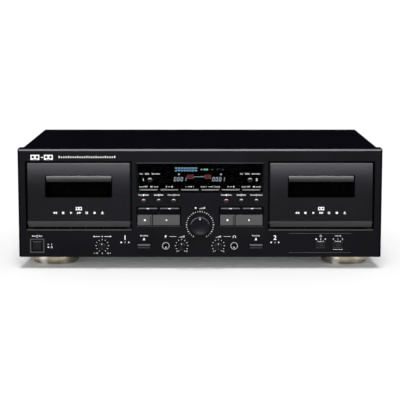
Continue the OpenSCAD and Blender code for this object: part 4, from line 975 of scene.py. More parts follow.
def trimPanel():
    # painted highlights on edges: round the power button, below each bay, over the lens and along the sunk
    # field
    look = trim
    x, z = centre("power_button")
    rim = bmesh.new()
    frameMark(rim, x, z, look["bezel"], look["bezel"], look["bezelRim"])
    printMarks("power_bezel_highlight", rim, frontY - bezelProud, "edgeGrey", "case")
    lines = bmesh.new()
    for door in both("door"):
        bar(lines, centre(door)[0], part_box(door)[0].z / mm - look["sillDrop"], *look["sill"])
    bar(lines, 0, look["lensTop"], *look["lensLine"])
    for side in (1, -1):
        bar(lines, look["shelfX"], look["shelfZ"] + side * look["shelfRise"], *look["shelfLine"])
    printMarks("panel_edge_highlight_lines", lines, frontY, "panelEdge", "case")


def shadeChamfer():
    # painted shade on the lower part of the panel's upper chamfer, which narrows its painted highlight
    wide, tall = trim["chamferShade"]
    mesh = nodes["front_panel"].data
    chamfer = [mesh.vertices[place].co for face in mesh.polygons if face.material_index == 1
               for place in face.vertices]
    low = min(chamfer, key=lambda corner: corner.z)
    step = tall / 2 * math.sqrt(0.5) * mm
    shade = bmesh.new()
    bar(shade, 0, 0, wide, tall)
    place = (0, low.y + step, low.z + step)
    printSloping("panel_chamfer_shade", shade, inkDepth, place, "panelBlack", "case")


def trimSlots():
    # painted highlight lines along each switch slot's upper and lower edges
    slots = bmesh.new()
    for node in switches:
        x, z = centre(node)
        for side in sides:
            bar(slots, x, z + side * trim["slotRise"], *trim["slotLine"])
    printMarks("switch_slot_highlight_lines", slots, frontY + shelfDepth, "edgeGrey", "case")


def trimJacks():
    # painted shade at the inner and outer edges of the rings, so that a narrower light ring shows, and a
    # sprung contact low in each bore
    look = trim
    w, h = look["jackTab"]
    rings = bmesh.new()
    tabs = bmesh.new()
    for side in sides:
        for r, width in look["jackRings"]:
            arc(rings, side * look["jackX"], look["jackZ"], r, width, steps=48)
        bar(tabs, side * look["jackX"], look["jackZ"] - look["jackBore"] + h / 2, w, h)
    printMarks("jack_ring_painted_shade", rings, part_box("jack_sockets")[0].y, "maskBlack", "case")
    thicken(tabs, look["jackTabThick"] * mm)
    standUp(tabs, 0, frontY + look["jackTabDepth"] * mm, 0)
    addPiece("jack_contacts", tabs, "headSteel", "case")


trimPanel()
shadeChamfer()
trimSlots()
trimJacks()

shelfMarks = {
    "size": 1.9, "labelRise": 11.2, "rowRise": 7.2, "rowPitch": 1.7, "travel": 3.2, "tickRise": 4.9,
    "tick": (0.35, 1.3), "lineDrop": 0.6, "line": 0.3,
    "clock": (1.3, 0.3), "hands": ((0, 0.45, 0.3, 0.9), (0.35, 0, 0.7, 0.3)),
    "noise": {"count": 6, "pitch": 1.3, "width": 0.5, "low": 0.7, "step": 0.45},
    "dashes": {"count": 5, "pitch": 2.4, "drop": 5.4, "size": (1.6, 0.45)},
}


def printShelf():
    # positions of the two slide switches, on the sunk field around them
    look = shelfMarks
    size = look["size"]
    bm = bmesh.new()
    for node, marks in zip(switches, (("record", "0", "play"), ("0", "1", "2"))):
        x, z = centre(node)
        row = z + look["rowRise"]
        for place, mark in enumerate(marks):
            step = (place - 1) * look["travel"]
            if mark == "record":
                recordMark(bm, x + step * look["rowPitch"], row, size)
            elif mark == "play":
                playMark(bm, x + step * look["rowPitch"], row, size)
            else:
                numeral(bm, mark, x + step * look["rowPitch"], row, size)
            bar(bm, x + step, z + look["tickRise"], *look["tick"])
        bar(bm, x, z + look["tickRise"] - look["lineDrop"], 2 * look["travel"], look["line"])
    x, z = centre("timer_switch")
    label = z + look["labelRise"]
    arc(bm, x, label, *look["clock"])
    for across, up, w, h in look["hands"]:
        bar(bm, x + across, label + up, w, h)
    x = centre("filter_switch")[0]
    noise, dashes = look["noise"], look["dashes"]
    for place in range(noise["count"]):
        tall = noise["low"] + noise["step"] * (place % 3)
        bar(bm, x + (place - (noise["count"] - 1) / 2) * noise["pitch"], label, noise["width"], tall)
    for place in range(dashes["count"]):
        across = (place - (dashes["count"] - 1) / 2) * dashes["pitch"]
        bar(bm, x + across, z - dashes["drop"], *dashes["size"])
    printMarks("switch_marks", bm, frontY + shelfDepth, "inkWhite", "case")


printShelf()

lensMarks = {
    "depth": 1.2, "modeRise": 4.3, "modeSize": 1.7, "stripTick": (1, 0.45),
    "rewindX": 3.2, "stopX": 3.4, "dash": (2.6, 0.4), "stop": 0.85, "copyX": 4.6, "copy": 5.2, "head": 0.9,
    "strip": {"side": 8.7, "w": 4.4, "count": 5}, "stripDrop": 0.2,
    "size": 2.4, "counterRise": 7.4, "counterStrip": {"side": 10.2, "w": 2.6, "count": 4},
    "deckX": 7.9, "deckRise": 0.4, "deck": 1.25, "deckWeight": 0.08,
    "zeroX": -3.4, "arrowX": 5.4, "arrow": 6.4, "label": 0.75,
}


def markMode(bm, place):
    # rewind to zero at the ends, play and stop next to them, copies between the decks in the middle
    look = lensMarks
    size = look["modeSize"]
    x, z = centre(f"mode_key_{place + 1}")
    row = z + look["modeRise"]
    if place in (0, 5):
        numeral(bm, "000", x - look["rewindX"], row, size)
        windMark(bm, x + look["rewindX"], row, size, -1)
    elif place in (1, 4):
        playMark(bm, x - look["stopX"], row, size)
        bar(bm, x, row, *look["dash"])
        stopMark(bm, x + look["stopX"], row, size * look["stop"])
    else:
        numeral(bm, "1", x - look["copyX"], row, size)
        arrowMark(bm, x, row, look["copy"], size * look["head"])
        numeral(bm, "2", x + look["copyX"], row, size)
    if place in (0, 3, 5):
        tickPair(bm, x, row - look["stripDrop"], tick=look["stripTick"], **look["strip"])


def printLens():
    look = lensMarks
    label = look["size"] * look["label"]
    bm = bmesh.new()
    for place in range(6):
        markMode(bm, place)
    for deck in decks:
        x, z = centre(f"counter_reset_{deck}")
        row = z + look["counterRise"]
        numeral(bm, str(deck), x + sides[deck - 1] * look["deckX"], z + look["deckRise"],
                look["size"] * look["deck"], look["deckWeight"])
        numeral(bm, "0000", x + look["zeroX"], row, label)
        arrowMark(bm, x + look["arrowX"], row, look["arrow"], label, -1)
        tickPair(bm, x, row, tick=look["stripTick"], **look["counterStrip"])
    printMarks("lens_marks", bm, frontY + look["depth"] * mm, "inkWhite", "case")


printLens()

doorMarks = {"rise": 17.8, "pitch": 9.4, "size": 2.9, "stop": 0.85, "pictureRise": 22.9,
             "picture": (7.2, 4)}
doorBead = {"size": (121.4, 0.6, 1.5), "turn": -26, "back": 0.045, "drop": 0.455, "doorLean": 2.4}


def printDoor(deck):
    # transport symbols in a row, below a small picture of a cassette
    look = doorMarks
    x = centre(f"door_{deck}")[0]
    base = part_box(f"door_{deck}")[0].z / mm
    z = base + look["rise"]
    size, pitch = look["size"], look["pitch"]
    bm = bmesh.new()
    windMark(bm, x - 3 * pitch, z, size, -1)
    stopMark(bm, x - 2 * pitch, z, size * look["stop"])
    playMark(bm, x - pitch, z, size)
    windMark(bm, x, z, size)
    pauseMark(bm, x + pitch, z, size)
    recordMark(bm, x + 2 * pitch, z, size)
    ejectMark(bm, x + 3 * pitch, z, size)
    holes = bmesh.new()
    cassetteMark(bm, holes, x, base + look["pictureRise"], *look["picture"])
    body = f"bay_door_{deck}"
    printMarks(f"door_marks_{deck}", bm, frontY, "inkWhite", body)
    printMarks(f"door_mark_holes_{deck}", holes, frontY - inkDepth, "maskBlack", body)


def beadDoor(deck):
    # a narrow sloping bead along the door's upper edge, in a lighter finish as a painted highlight
    look = doorBead
    low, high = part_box(f"door_{deck}")
    back = frontY + (look["doorLean"] + look["back"]) * mm
    place = Matrix.Translation(((low.x + high.x) / 2, back, high.z - look["drop"] * mm))
    turn = Matrix.Rotation(math.radians(look["turn"]), 4, "X")
    bm = bmesh.new()
    bmesh.ops.create_cube(bm, size=mm, matrix=place @ turn @ Matrix.Diagonal((*look["size"], 1)))
    addPiece(f"door_bead_{deck}", bm, "panelEdge", f"bay_door_{deck}")


keyMarks = {
    "size": 2.6, "rise": 0.6, "stop": 0.85, "groove": (0.65, 12), "grooveInset": 1.8,
    "windSize": 1.8, "windTop": 7.6, "slope": 1.1, "line": 1.3, "lineRise": 0.35, "lineShort": 3,
    "ejectHighlightLine": (14.6, 0.7), "ejectDrop": 1.7, "modeZ": 95.7, "mode": (22, 2), "modeShade": (1.25, 0.8),
}


def printKey(node, mark, finish="inkWhite", kind="mark"):
    bm = bmesh.new()
    mark(bm, centre(node)[0])
    body = nodes[node]["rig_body"]
    printMarks(f"{node}_{kind}", bm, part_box(node)[0].y, finish, body)


def printSlope(node, way):
    # a painted highlight line with a winding mark over it, on the slope along a key's upper edge
    look = keyMarks
    low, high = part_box(node)
    slope = look["slope"] * mm
    place = ((low.x + high.x) / 2, low.y + slope, low.z + look["windTop"] * mm - slope)
    body = nodes[node]["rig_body"]
    line = bmesh.new()
    bar(line, 0, look["lineRise"], (high.x - low.x) / mm - look["lineShort"], look["line"])
    printSloping(f"{node}_line", line, inkDepth, place, "slopeGrey", body)
    mark = bmesh.new()
    windMark(mark, 0, 0, look["windSize"], way)
    printSloping(f"{node}_mark", mark, 2 * inkDepth, place, "inkWhite", body)


def shadeMode(bm, x):
    # painted shade on the lower part and the ends of a mode key
    (w, h), (low, end) = keyMarks["mode"], keyMarks["modeShade"]
    bar(bm, x, keyMarks["modeZ"] - (h - low) / 2, w, low)
    for side in sides:
        bar(bm, x + side * (w - end) / 2, keyMarks["modeZ"] + low / 2, end, h - low)


def printKeys(deck):
    look = keyMarks
    stop, play, eject = (f"{name}_{deck}" for name in ("stop_key", "play_key", "eject_button"))
    keyZ = centre(stop)[1]
    markZ = keyZ + look["rise"]
    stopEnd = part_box(stop)[1].x / mm - look["grooveInset"]
    ejectZ = centre(eject)[1] - look["ejectDrop"]
    printKey(stop, lambda bm, x: stopMark(bm, x, markZ, look["size"] * look["stop"]))
    printKey(stop, lambda bm, x: bar(bm, stopEnd, keyZ, *look["groove"]), "maskBlack", "groove")
    printKey(play, lambda bm, x: playMark(bm, x, markZ, look["size"]))
    printSlope(f"rewind_key_{deck}", -1)
    printSlope(f"fast_forward_key_{deck}", 1)
    # a painted highlight line on the eject button
    printKey(eject, lambda bm, x: bar(bm, x, ejectZ, *look["ejectHighlightLine"]), "edgeGrey", "line")


for deck in decks:
    printDoor(deck)
    beadDoor(deck)
    printKeys(deck)
for place in range(1, 7):
    printKey(f"mode_key_{place}", shadeMode, "maskBlack", "shade")
print("marks printed")


# Display behind the smoked lens

display = {
    "faceDepth": 7.9,  # the lit pieces, behind the panel's face
    "meterX": (-28.7, -4.7), "meterZ": 120.1, "meterSegments": 8, "meterStep": 3.2,
    "meterBar": (0.56, 1.1), "meterDeep": (0.7, 1.3),  # a share of the pitch, and a height
    "iconZ": 119.9, "icon": 1.8, "stops": (5.6, 8.4), "plays": (14.4, 21, 27), "lampX": 1.9, "lampR": 0.8,
    "tapeX": (-25.2, 25.2), "tapeZ": 114.2, "tapeR": 0.9,
    "counterX": (-29.8, 16.2), "digitZ": 108.3, "digitHeight": 4.5, "digitPitch": 4.0,
    "boxX": (-11.6, 9.3), "boxZ": 111.3, "box": (7.6, 4.4, 0.7), "boxDot": (-1.7, 1.7),
    "boxBarX": 1.2, "boxBar": (2.6, 1.1), "dots": 9, "dotX": -7, "dotPitch": 1.45, "dot": (1.0, 0.5),
}
displayGlow = {"deep_blue": "glowDeep", "blue": "glowBlue", "white": "glowWhite", "green": "glowGreen",
               "red": "glowRed", "dim": "glowDim"}
segments = {  # place across and up, and whether it lies flat
    "a": (0, 0.5, True), "g": (0, 0, True), "d": (0, -0.5, True), "f": (-0.5, 0.25, False),
    "b": (0.5, 0.25, False), "e": (-0.5, -0.25, False), "c": (0.5, -0.25, False),
}
digitShape = {"wide": 0.44, "lean": 0.12, "flat": 0.76, "tall": 0.40, "thick": 0.1}
displayMask = {"half": 53, "low": 98.6, "high": 128.6, "depth": (4.6, 5.0), "windowHalf": 44,
               "windowLow": 102.4, "windowHigh": 123.6, "tubeDepth": 8, "tubeMargin": 2}


def segmentDigit(bm, x, z, h, lit):
    # seven leaning bars
    look = digitShape
    w = look["wide"] * h
    thick = look["thick"] * h
    for name in lit:
        across, up, flat = segments[name]
        spot = (x + across * w + look["lean"] * up * h, z + up * h)
        if flat:
            bar(bm, *spot, look["flat"] * w, thick)
        else:
            bar(bm, *spot, thick, look["tall"] * h, -math.degrees(look["lean"]))


def lightDisplay():
    look = display
    layers = {name: bmesh.new() for name in displayGlow}
    low, high = look["meterX"]
    count = look["meterSegments"]
    step = (high - low) / (count - 1)
    share, tall = look["meterBar"]
    for row in (-0.5, 0.5):
        z = look["meterZ"] + row * look["meterStep"]
        for place in range(count):
            bar(layers["blue"], low + place * step, z, step * share, tall)
    share, tall = look["meterDeep"]
    for place in range(count - 1):
        bar(layers["deep_blue"], low + (place + 0.5) * step, look["meterZ"], step * share, tall)
    for place in range(look["dots"]):
        bar(layers["blue"], look["dotX"] + place * look["dotPitch"], look["boxZ"], *look["dot"])
    disc(layers["white"], look["lampX"], look["iconZ"], look["lampR"])
    for x, tapeX in zip(look["counterX"], look["tapeX"]):
        disc(layers["white"], tapeX, look["tapeZ"], look["tapeR"])
        for place, lit in enumerate(("abcdef", "abcdef", "abcdef", "bc")):
            digitX = x + place * look["digitPitch"]
            segmentDigit(layers["white"], digitX, look["digitZ"], look["digitHeight"], lit)
    for x in look["stops"]:
        stopMark(layers["green"], x, look["iconZ"], look["icon"])
    shift, dot = look["boxDot"]
    for x in look["boxX"]:
        frameMark(layers["red"], x, look["boxZ"], *look["box"])
        recordMark(layers["red"], x + shift, look["boxZ"], dot)
        bar(layers["red"], x + look["boxBarX"], look["boxZ"], *look["boxBar"])
    for x in look["plays"]:
        playMark(layers["dim"], x, look["iconZ"], look["icon"])
    y = frontY + look["faceDepth"] * mm
    for name, finish in displayGlow.items():
        printMarks(f"display_{name}", layers[name], y, finish, "case")


def maskDisplay():
    # a black mask behind the lens, with a window for the tube
    look = displayMask
    half, edge = look["half"], look["windowHalf"]
    low, high, sill, head = look["low"], look["high"], look["windowLow"], look["windowHigh"]
    bm = bmesh.new()
    bar(bm, 0, (low + sill) / 2, 2 * half, sill - low)
    bar(bm, 0, (head + high) / 2, 2 * half, high - head)
    for side in sides:
        bar(bm, side * (half + edge) / 2, (sill + head) / 2, half - edge, head - sill)
    bmesh.ops.remove_doubles(bm, verts=bm.verts[:], dist=tiny)
    front, back = look["depth"]
    thicken(bm, (back - front) * mm)
    standUp(bm, 0, frontY + back * mm, 0)
    addPiece("display_mask", bm, "maskBlack", "case")
    face = bmesh.new()
    bar(face, 0, (sill + head) / 2, 2 * edge + look["tubeMargin"], head - sill)
    tubeY = frontY + look["tubeDepth"] * mm
    printMarks("display_tube_face", face, tubeY, "maskBlack", "case")


lightDisplay()
maskDisplay()
print("display lit")


# Smoked panes of the doors

pane = {"lip": 2.2, "lipThick": 1.2, "corner": 1.8, "cornerSegments": 6, "border": 1.2,
        "bendFrom": 0.62, "lean": 10, "rows": 28, "hazeFrom": 0.69}


def roundCorners(bm, radius, segments):
    # rounds the edges that run through the thickness, while the sheet lies flat
    edges = []
    for edge in bm.edges:
        along = (edge.verts[0].co - edge.verts[1].co).normalized()
        if abs(along.z) > 0.99 and edge.calc_face_angle(0) > 1:
            edges.append(edge)
    bmesh.ops.bevel(bm, geom=edges, offset=radius, offset_type="OFFSET", affect="EDGES", segments=segments,
                    profile=0.5, material=-1)


def paneDrop(up, height):
    # how far the face falls back at a share of its height: flat, then a bend to its full lean
    start = pane["bendFrom"]
    if up < start:
        return 0
    return math.tan(math.radians(pane["lean"])) * height * (up - start) ** 2 / (2 * (1 - start))


def shapePane(w, h, deep):
    # one sheet, lying flat: a lip that holds it in the door, and a face with a border
    look = pane
    lip = look["lipThick"] * mm
    faceH = h - 2 * look["lip"] * mm
    bm = bmesh.new()
    size = Matrix.Diagonal((w, h, lip, 1))
    bmesh.ops.create_cube(bm, size=1, matrix=Matrix.Translation((0, 0, lip / 2)) @ size)
    face = [one for one in bm.faces if one.normal.z > 0.9]
    bmesh.ops.inset_region(bm, faces=face, thickness=look["lip"] * mm, use_even_offset=True)
    raised = lifted(bmesh.ops.extrude_face_region(bm, geom=face))
    bmesh.ops.delete(bm, geom=[one for one in face if one.is_valid], context="FACES_ONLY")
    bmesh.ops.translate(bm, verts=raised, vec=(0, 0, deep - lip))
    roundCorners(bm, look["corner"] * mm, look["cornerSegments"])
    bm.normal_update()
    face = [one for one in bm.faces if one.normal.z > 0.9 and one.calc_center_median().z > deep - tiny]
    bmesh.ops.inset_region(bm, faces=face, thickness=look["border"] * mm, use_even_offset=True)
    for row in range(1, look["rows"]):
        up = look["bendFrom"] + (1 - look["bendFrom"]) * row / look["rows"]
        cut = bm.verts[:] + bm.edges[:] + bm.faces[:]
        bmesh.ops.bisect_plane(bm, geom=cut, plane_co=(0, (up - 0.5) * faceH, 0), plane_no=(0, 1, 0),
                               dist=1e-7)
    for vert in bm.verts:
        if vert.co.z > deep - tiny:
            vert.co.z -= paneDrop(vert.co.y / faceH + 0.5, faceH)
    return bm


def makePane(deck):
    look = pane
    node = f"door_window_{deck}"
    low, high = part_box(node)
    mid = (low + high) / 2
    w, h = high.x - low.x, high.z - low.z
    bm = shapePane(w, h, high.y - low.y)
    standUp(bm, 0, high.y, 0)
    moveAll(bm, mid.x, 0, mid.z)
    finish = ["smokedPane", "smokedBend", "maskBlack"]
    piece = addPiece(f"door_pane_{deck}", bm, finish, f"bay_door_{deck}", sharp=25)
    faceH = h - 2 * look["lip"] * mm
    edgeX = w / 2 - (look["lip"] + look["border"]) * mm
    edgeZ = faceH / 2 - look["border"] * mm
    lipFront = high.y - look["lipThick"] * mm
    for face in piece.data.polygons:
        if face.normal.y > -0.5 or face.center.y > lipFront - tiny:
            continue
        if abs(face.center.x - mid.x) > edgeX or abs(face.center.z - mid.z) > edgeZ:
            face.material_index = 2
        elif face.center.z > mid.z + (look["hazeFrom"] - 0.5) * faceH:
            face.material_index = 1
    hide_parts(node)


for deck in decks:
    makePane(deck)
print("panes made")


# Knobs and buttons turned on a lathe

def lathe(profile, steps):
    bm = bmesh.new()
    verts = [bm.verts.new((r * mm, 0, h * mm)) for r, h in profile]
    for first, second in zip(verts, verts[1:]):
        bm.edges.new((first, second))
    bmesh.ops.spin(bm, geom=bm.verts[:] + bm.edges[:], cent=(0, 0, 0), axis=(0, 0, 1), angle=2 * math.pi,
                   steps=steps, use_merge=True)
    bmesh.ops.remove_doubles(bm, verts=bm.verts[:], dist=1e-7)
    return bm


def crown(r, top, depth, steps):
    # a quarter ellipse from the middle of a turned top to its edge
    turns = [place / steps * math.pi / 2 for place in range(steps + 1)]
    return [(r * math.sin(a), top - depth * (1 - math.cos(a))) for a in turns]


smallKnob = {"flutes": 20, "flute": 0.3, "dish": 0.25, "shaft": 2.0, "pointer": (0.6, 1.6), "face": 3.4}
knobs = {
    "record_level_knob": {"flutes": 44, "flute": 0.35, "dish": 0.9, "shaft": 3.0, "pointer": (1.0, 2.0),
                          "face": 9.4},
    "pitch_knob": smallKnob,
    "mic_level_knob": smallKnob,
    "phones_level_knob": smallKnob,
}
knobTurn = {"lift": 0.8, "edge": 0.06, "gripFrom": 0.5, "gripRows": 6, "fluteSteps": 6,
            "pointerIn": 0.12, "pointerSink": 0.02}


def knobProfile(look, r, out, back, grip, edge):
    # from the middle of the dished face over the rounded edge and the grip to the shaft's end
    lift, face, dish, shaft = knobTurn["lift"], look["face"], look["dish"], look["shaft"]
    dished = [(0, out - dish), (0.5 * face, out - 0.85 * dish), (0.85 * face, out - 0.45 * dish)]
    rounded = [(face, out - 0.1), (r - 1.6 * edge, out), (r - 0.6 * edge, out - 0.35 * edge),
               (r - 0.1 * edge, out - 1.2 * edge)]
    under = [(r - 0.35, lift), (shaft + 0.4, lift), (shaft, lift - 0.3), (shaft, back), (0, back)]
    return dished + rounded + [(r, h) for h in reversed(grip)] + under


def cutFlutes(bm, look, r, grip):
    for vert in bm.verts:
        onGrip = grip[0] * mm - tiny < vert.co.z < grip[-1] * mm + tiny
        if onGrip and abs(vert.co.xy.length - r * mm) < tiny:
            turn = math.atan2(vert.co.y, vert.co.x) * look["flutes"]
            shrink = 1 - look["flute"] * (0.5 + 0.5 * math.cos(turn)) / r
            vert.co.x *= shrink
            vert.co.y *= shrink


def makeKnob(node, look):
    low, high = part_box(node)
    x, z = (low.x + high.x) / 2, (low.z + high.z) / 2
    r = (high.x - low.x) / 2 / mm
    out, back = (frontY - low.y) / mm, (frontY - high.y) / mm
    edge = knobTurn["edge"] * r
    start = knobTurn["lift"] + knobTurn["gripFrom"]
    rows = knobTurn["gripRows"]
    grip = [start + place * (out - 2.2 * edge - start) / (rows - 1) for place in range(rows)]
    bm = lathe(knobProfile(look, r, out, back, grip, edge), look["flutes"] * knobTurn["fluteSteps"])
    cutFlutes(bm, look, r, grip)
    standUp(bm, x, frontY, z)
    makeTurnedFace(f"{node}_face", x, z)
    body = nodes[node]["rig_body"]
    finish = ["knobBlack", f"{node}_face", "knobRim", "knobGlint"]
    piece = addPiece(f"{node}_turned", bm, finish, body, sharp=28)
    for face in piece.data.polygons:
        away = math.hypot(face.center.x - x, face.center.z - z)
        if face.normal.y < -0.8:
            face.material_index = 1
        elif face.normal.y < -0.2 and away > (r - 1.8 * edge) * mm:
            # the upper faces of the rim take a painted highlight
            face.material_index = 3 if face.normal.z > 0.2 else 2
    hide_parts(node)
    mark = bmesh.new()
    w, h = look["pointer"]
    bar(mark, x / mm, z / mm + r - knobTurn["pointerIn"] * r - h / 2, w, h)
    pointerY = frontY - out * mm + knobTurn["pointerSink"] * mm
    printMarks(f"{node}_pointer", mark, pointerY, "inkWhite", body)


greyButton = {"finish": ["buttonGrey", "buttonGlint"], "slot": "button_grey", "collarBack": 3.3}
buttons = {
    "record_button": {"finish": ["recordRed", "recordGlint"], "slot": "record_red", "collarBack": 3.3},
    "pause_button": greyButton,
    "mute_button": greyButton,
    "counter_reset": {**greyButton, "collarBack": 4.7},
}
buttonTurn = {"collar": 0.9, "collarThick": 1.2, "stem": 1.4, "dome": 1.1, "rings": 9, "steps": 64}


def makeButton(node, look):
    # a domed top with a painted highlight along its upper side, over a collar and a stem
    turn = buttonTurn
    low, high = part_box(node)
    wide = (high.x - low.x) / 2 / mm
    r = wide - turn["collar"]
    out, back = (frontY - low.y) / mm, (frontY - high.y) / mm
    collar = -look["collarBack"]
    under = collar - turn["collarThick"]
    profile = crown(r, out, turn["dome"], turn["rings"])
    profile += [(r, collar), (wide, collar), (wide, under)]
    profile += [(turn["stem"], under), (turn["stem"], back), (0, back)]
    bm = lathe(profile, turn["steps"])
    standUp(bm, (low.x + high.x) / 2, frontY, (low.z + high.z) / 2)
    piece = addPiece(f"{node}_domed", bm, look["finish"], nodes[node]["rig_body"])
    for face in piece.data.polygons:
        # painted highlight on the dome's upper faces
        if face.normal.y < -0.3 and face.normal.z > 0.3:
            face.material_index = 1
    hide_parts(node)


for node, look in knobs.items():
    makeKnob(node, look)
for name, look in buttons.items():
    for node in both(name):
        makeButton(node, look)
print("knobs and buttons turned")


# Screws with cross recesses, in place of the plain ones

screws = {
    "headR": 3.4, "head": 1.7, "crown": 1.0, "crownSteps": 5, "shaftR": 1.55, "shaft": 7, "tip": 0.8,
    "steps": 32, "crossL": 3.6, "crossW": 0.8, "crossD": 1.0,
    "sideY": (60, 232), "sideZ": 37, "rearIn": 15.2, "rearZ": (25, 132.5),
    "footX": 178.5, "footY": (55, 220), "footZ": 9,
}


def crossScrew():
    # one screw that looks up, with its head's underside at zero
    look = screws
    profile = crown(look["headR"], look["head"], look["crown"], look["crownSteps"])
    profile += [(look["headR"], 0), (look["shaftR"], 0), (look["shaftR"], -look["shaft"]),
                (0, -look["shaft"] - look["tip"])]
    cutter = bmesh.new()
    size = Matrix.Diagonal((look["crossL"] * mm, look["crossW"] * mm, 2 * look["crossD"] * mm, 1))
    for turn in (0, 90):
        place = Matrix.Translation((0, 0, look["head"] * mm)) @ Matrix.Rotation(math.radians(turn), 4, "Z")
        bmesh.ops.create_cube(cutter, size=1, matrix=place @ size)
    blank = plainObject("screwBlank", lathe(profile, look["steps"]))
    cross = plainObject("screwCross", cutter)
    cut = blank.modifiers.new("cross", "BOOLEAN")
    cut.object = cross
    cut.operation = "DIFFERENCE"
    cut.solver = "EXACT"
    cut.use_self = True
    bpy.context.view_layer.update()
    done = bpy.data.meshes.new_from_object(blank.evaluated_get(bpy.context.evaluated_depsgraph_get()))
    for one in (blank, cross):
        bpy.data.objects.remove(one)
    return done


def placeScrews():
    look = screws
    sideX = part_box("top_cover")[1].x
    rearX = sideX - look["rearIn"] * mm
    spots = []
    for y in look["sideY"]:
        for side in sides:
            spots.append(((side * sideX, frontY + y * mm, look["sideZ"] * mm), (side, 0, 0)))
    for side in sides:
        for z in look["rearZ"]:
            spots.append(((side * rearX, rearY, z * mm), (0, 1, 0)))
    for side in sides:
        for y in look["footY"]:
            spots.append(((side * look["footX"] * mm, frontY + y * mm, look["footZ"] * mm), (0, 0, -1)))
    master = crossScrew()
    bm = bmesh.new()
    for spot, way in spots:
        copy = master.copy()
        turn = Vector(way).to_track_quat("Z", "Y").to_matrix().to_4x4()
        copy.transform(Matrix.Translation(spot) @ turn)
        bm.from_mesh(copy)
        bpy.data.meshes.remove(copy)
    piece = addPiece("cross_screws", bm, "screwBlack", "case", sharp=30)
    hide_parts("case_screws")


placeScrews()
print("screws placed")


# Rear sockets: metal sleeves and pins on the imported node, and coloured rings around them

sockets = {"x": 120, "z": 87, "pitch": 16, "sleeve": 4.25, "ringGap": 0.1, "ringR": 5.7, "ringT": 0.7,
           "ringEdge": 0.2, "ringSteps": 40, "block": 2, "sleeveFrom": 2.02,
           "inletX": -150, "inletZ": 55, "pinX": 4.3, "pinR": 1.3}


def near(c, x, z, r):
    return math.hypot(c.x - x, c.z - z) < r


def dressSockets():
    look = sockets
    half = look["pitch"] / 2
    spots = [(look["x"] + across * half, look["z"] + up * half, across) for across in sides for up in sides]
    pins = [(look["inletX"] + side * look["pinX"], look["inletZ"]) for side in sides]
    sleeveY = rearY / mm + look["sleeveFrom"]
    paintFaces("rear_sockets", "contactGold",
               lambda c, n: c.y > sleeveY and any(near(c, x, z, look["sleeve"]) for x, z, side in spots))
    paintFaces("rear_sockets", "jackNickel",
               lambda c, n: any(near(c, x, z, look["pinR"]) for x, z in pins))
    inner, outer, thick = look["sleeve"] + look["ringGap"], look["ringR"], look["ringT"]
    edge = look["ringEdge"]
    profile = [(inner, 0), (inner, thick), (outer - edge, thick), (outer, thick - edge), (outer, 0),
               (inner, 0)]
    for finish, way in (("ringWhite", -1), ("ringRed", 1)):
        bm = bmesh.new()
        for x, z, side in spots:
            if side == way:
                ring = lathe(profile, look["ringSteps"])
                turnAll(ring, -math.pi / 2, "X")
                moveAll(ring, x * mm, rearY + look["block"] * mm, z * mm)
                join(bm, ring)
        addPiece(f"phono_rings_{finish[4:].lower()}", bm, finish, "case")


dressSockets()
print("rear sockets dressed")


# Turned feet with a fuller lower edge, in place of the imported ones

feet = {
    "r": 28.5, "bore": 2.2, "steps": 96, "topEdge": 0.3,
    # the groove and the rounded lower edge, as insets from the outside and heights
    "outside": ((0, 11.6), (0.5, 11.3), (0.5, 10.7), (0, 10.4), (0, 4.2), (0.15, 3.1), (0.6, 2.1),
                (1.3, 1.3), (2.2, 0.8), (3.2, 0.6)),
    "base": 0.6, "recess": 11, "recessEdge": 0.3, "recessRise": 9,
    "padOut": 20.5, "padIn": 13, "pad": 1.5, "padEdge": 0.3, "padGap": 0.2,
}


def footProfiles(top):
    look = feet
    r, pad, base, gap = look["r"], look["pad"], look["base"], look["padGap"]
    padOut, padIn, edge, bore = look["padOut"], look["padIn"], look["topEdge"], look["bore"]
    recess, rise = look["recess"], look["recessRise"]
    metal = [(bore, top), (r - edge, top), (r, top - edge)]
    metal += [(r - inset, h) for inset, h in look["outside"]]
    metal += [(padOut + gap, base), (padOut + gap, pad), (padIn - gap, pad), (padIn - gap, base)]
    metal += [(recess + look["recessEdge"], base), (recess, base + look["recessEdge"]), (recess, rise),
              (bore, rise), (bore, top)]
    felt = [(padIn, 0), (padIn, pad), (padOut, pad), (padOut, look["padEdge"]),
            (padOut - look["padEdge"], 0), (padIn, 0)]
    return metal, felt


def turnFeet():
    low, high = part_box("feet")
    r = feet["r"] * mm
    metal, felt = footProfiles((high.z - low.z) / mm)
    footX = (high.x - low.x) / 2 - r
    spots = [(side * footX, y) for side in sides for y in (low.y + r, high.y - r)]
    for name, finish, profile in (("foot_metal", "footMetal", metal), ("foot_pads", "padFelt", felt)):
        bm = bmesh.new()
        for x, y in spots:
            one = lathe(profile, feet["steps"])
            moveAll(one, x, y, 0)
            join(bm, one)
        piece = addPiece(name, bm, finish, "case", sharp=32)
        if name == "foot_metal":
            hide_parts("feet")


turnFeet()
print("feet turned")


# Marks on the rear panel

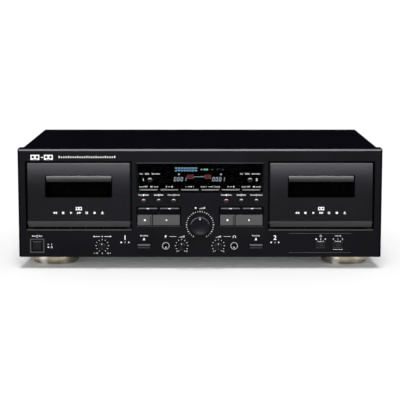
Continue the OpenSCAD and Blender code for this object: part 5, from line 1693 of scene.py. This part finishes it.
rearMarks = {"arrowX": 147, "arrow": (9, 2.6), "numeralRise": 24, "numeral": 3, "waveRise": 21, "wave": 2.2,
             "waveLine": 0.5}


def printRear():
    # arrows for in and out beside the phono sockets, and a wave above the mains inlet
    look = rearMarks
    half = sockets["pitch"] / 2
    bm = bmesh.new()
    for way in (1, -1):
        arrowMark(bm, -look["arrowX"], sockets["z"] + way * half, *look["arrow"], way)
    for text, side in zip("12", sides):
        x = -(sockets["x"] - side * half)
        numeral(bm, text, x, sockets["z"] + look["numeralRise"], look["numeral"])
    r, line = look["wave"], look["waveLine"]
    waveX, waveZ = -sockets["inletX"], sockets["inletZ"] + look["waveRise"]
    arc(bm, waveX - r + line / 2, waveZ, r, line, 0, 180, 14)
    arc(bm, waveX + r - line / 2, waveZ, r, line, 180, 180, 14)
    thicken(bm, inkDepth)
    standUp(bm, 0, 0, 0)
    turnAll(bm, math.pi, "Z")
    moveAll(bm, 0, rearY, 0)
    addPiece("rear_marks", bm, "inkWhite", "case", sharp=20)


printRear()
print("rear marks printed")


# Floor, a wide shallow bowl, in metres

floorBowl = {"flat": 5, "far": 40, "rise": 7, "rings": 14, "steps": 96, "lift": 0.04}


def liftFloor(strength):
    # the backdrop looks a little paler than its light makes it, also in gloss and glass
    tree = materials["studioFloor"].node_tree
    rays = addNode(tree, "LightPath").outputs
    seen = rays["Is Camera Ray"]
    for ray in ("Is Glossy Ray", "Is Transmission Ray"):
        either = addNode(tree, "Math", {0: seen, 1: rays[ray]}, operation="ADD", use_clamp=True)
        seen = either.outputs["Value"]
    setShader(tree, tree.nodes["Principled BSDF"], {
        "Emission Color": (1, 1, 1, 1),
        "Emission Strength": calculate(tree, "MULTIPLY", seen, strength),
    })


def layFloor():
    look = floorBowl
    flat, far, rise = (look[name] / mm for name in ("flat", "far", "rise"))
    profile = [(0, 0)]
    for ring in range(look["rings"] + 1):
        share = ring / look["rings"]
        profile.append((flat + (far - flat) * share, rise * share ** 2))
    smoothObject("floor", lathe(profile, look["steps"]), "studioFloor", 35)


liftFloor(floorBowl["lift"])
layFloor()
print("floor laid")
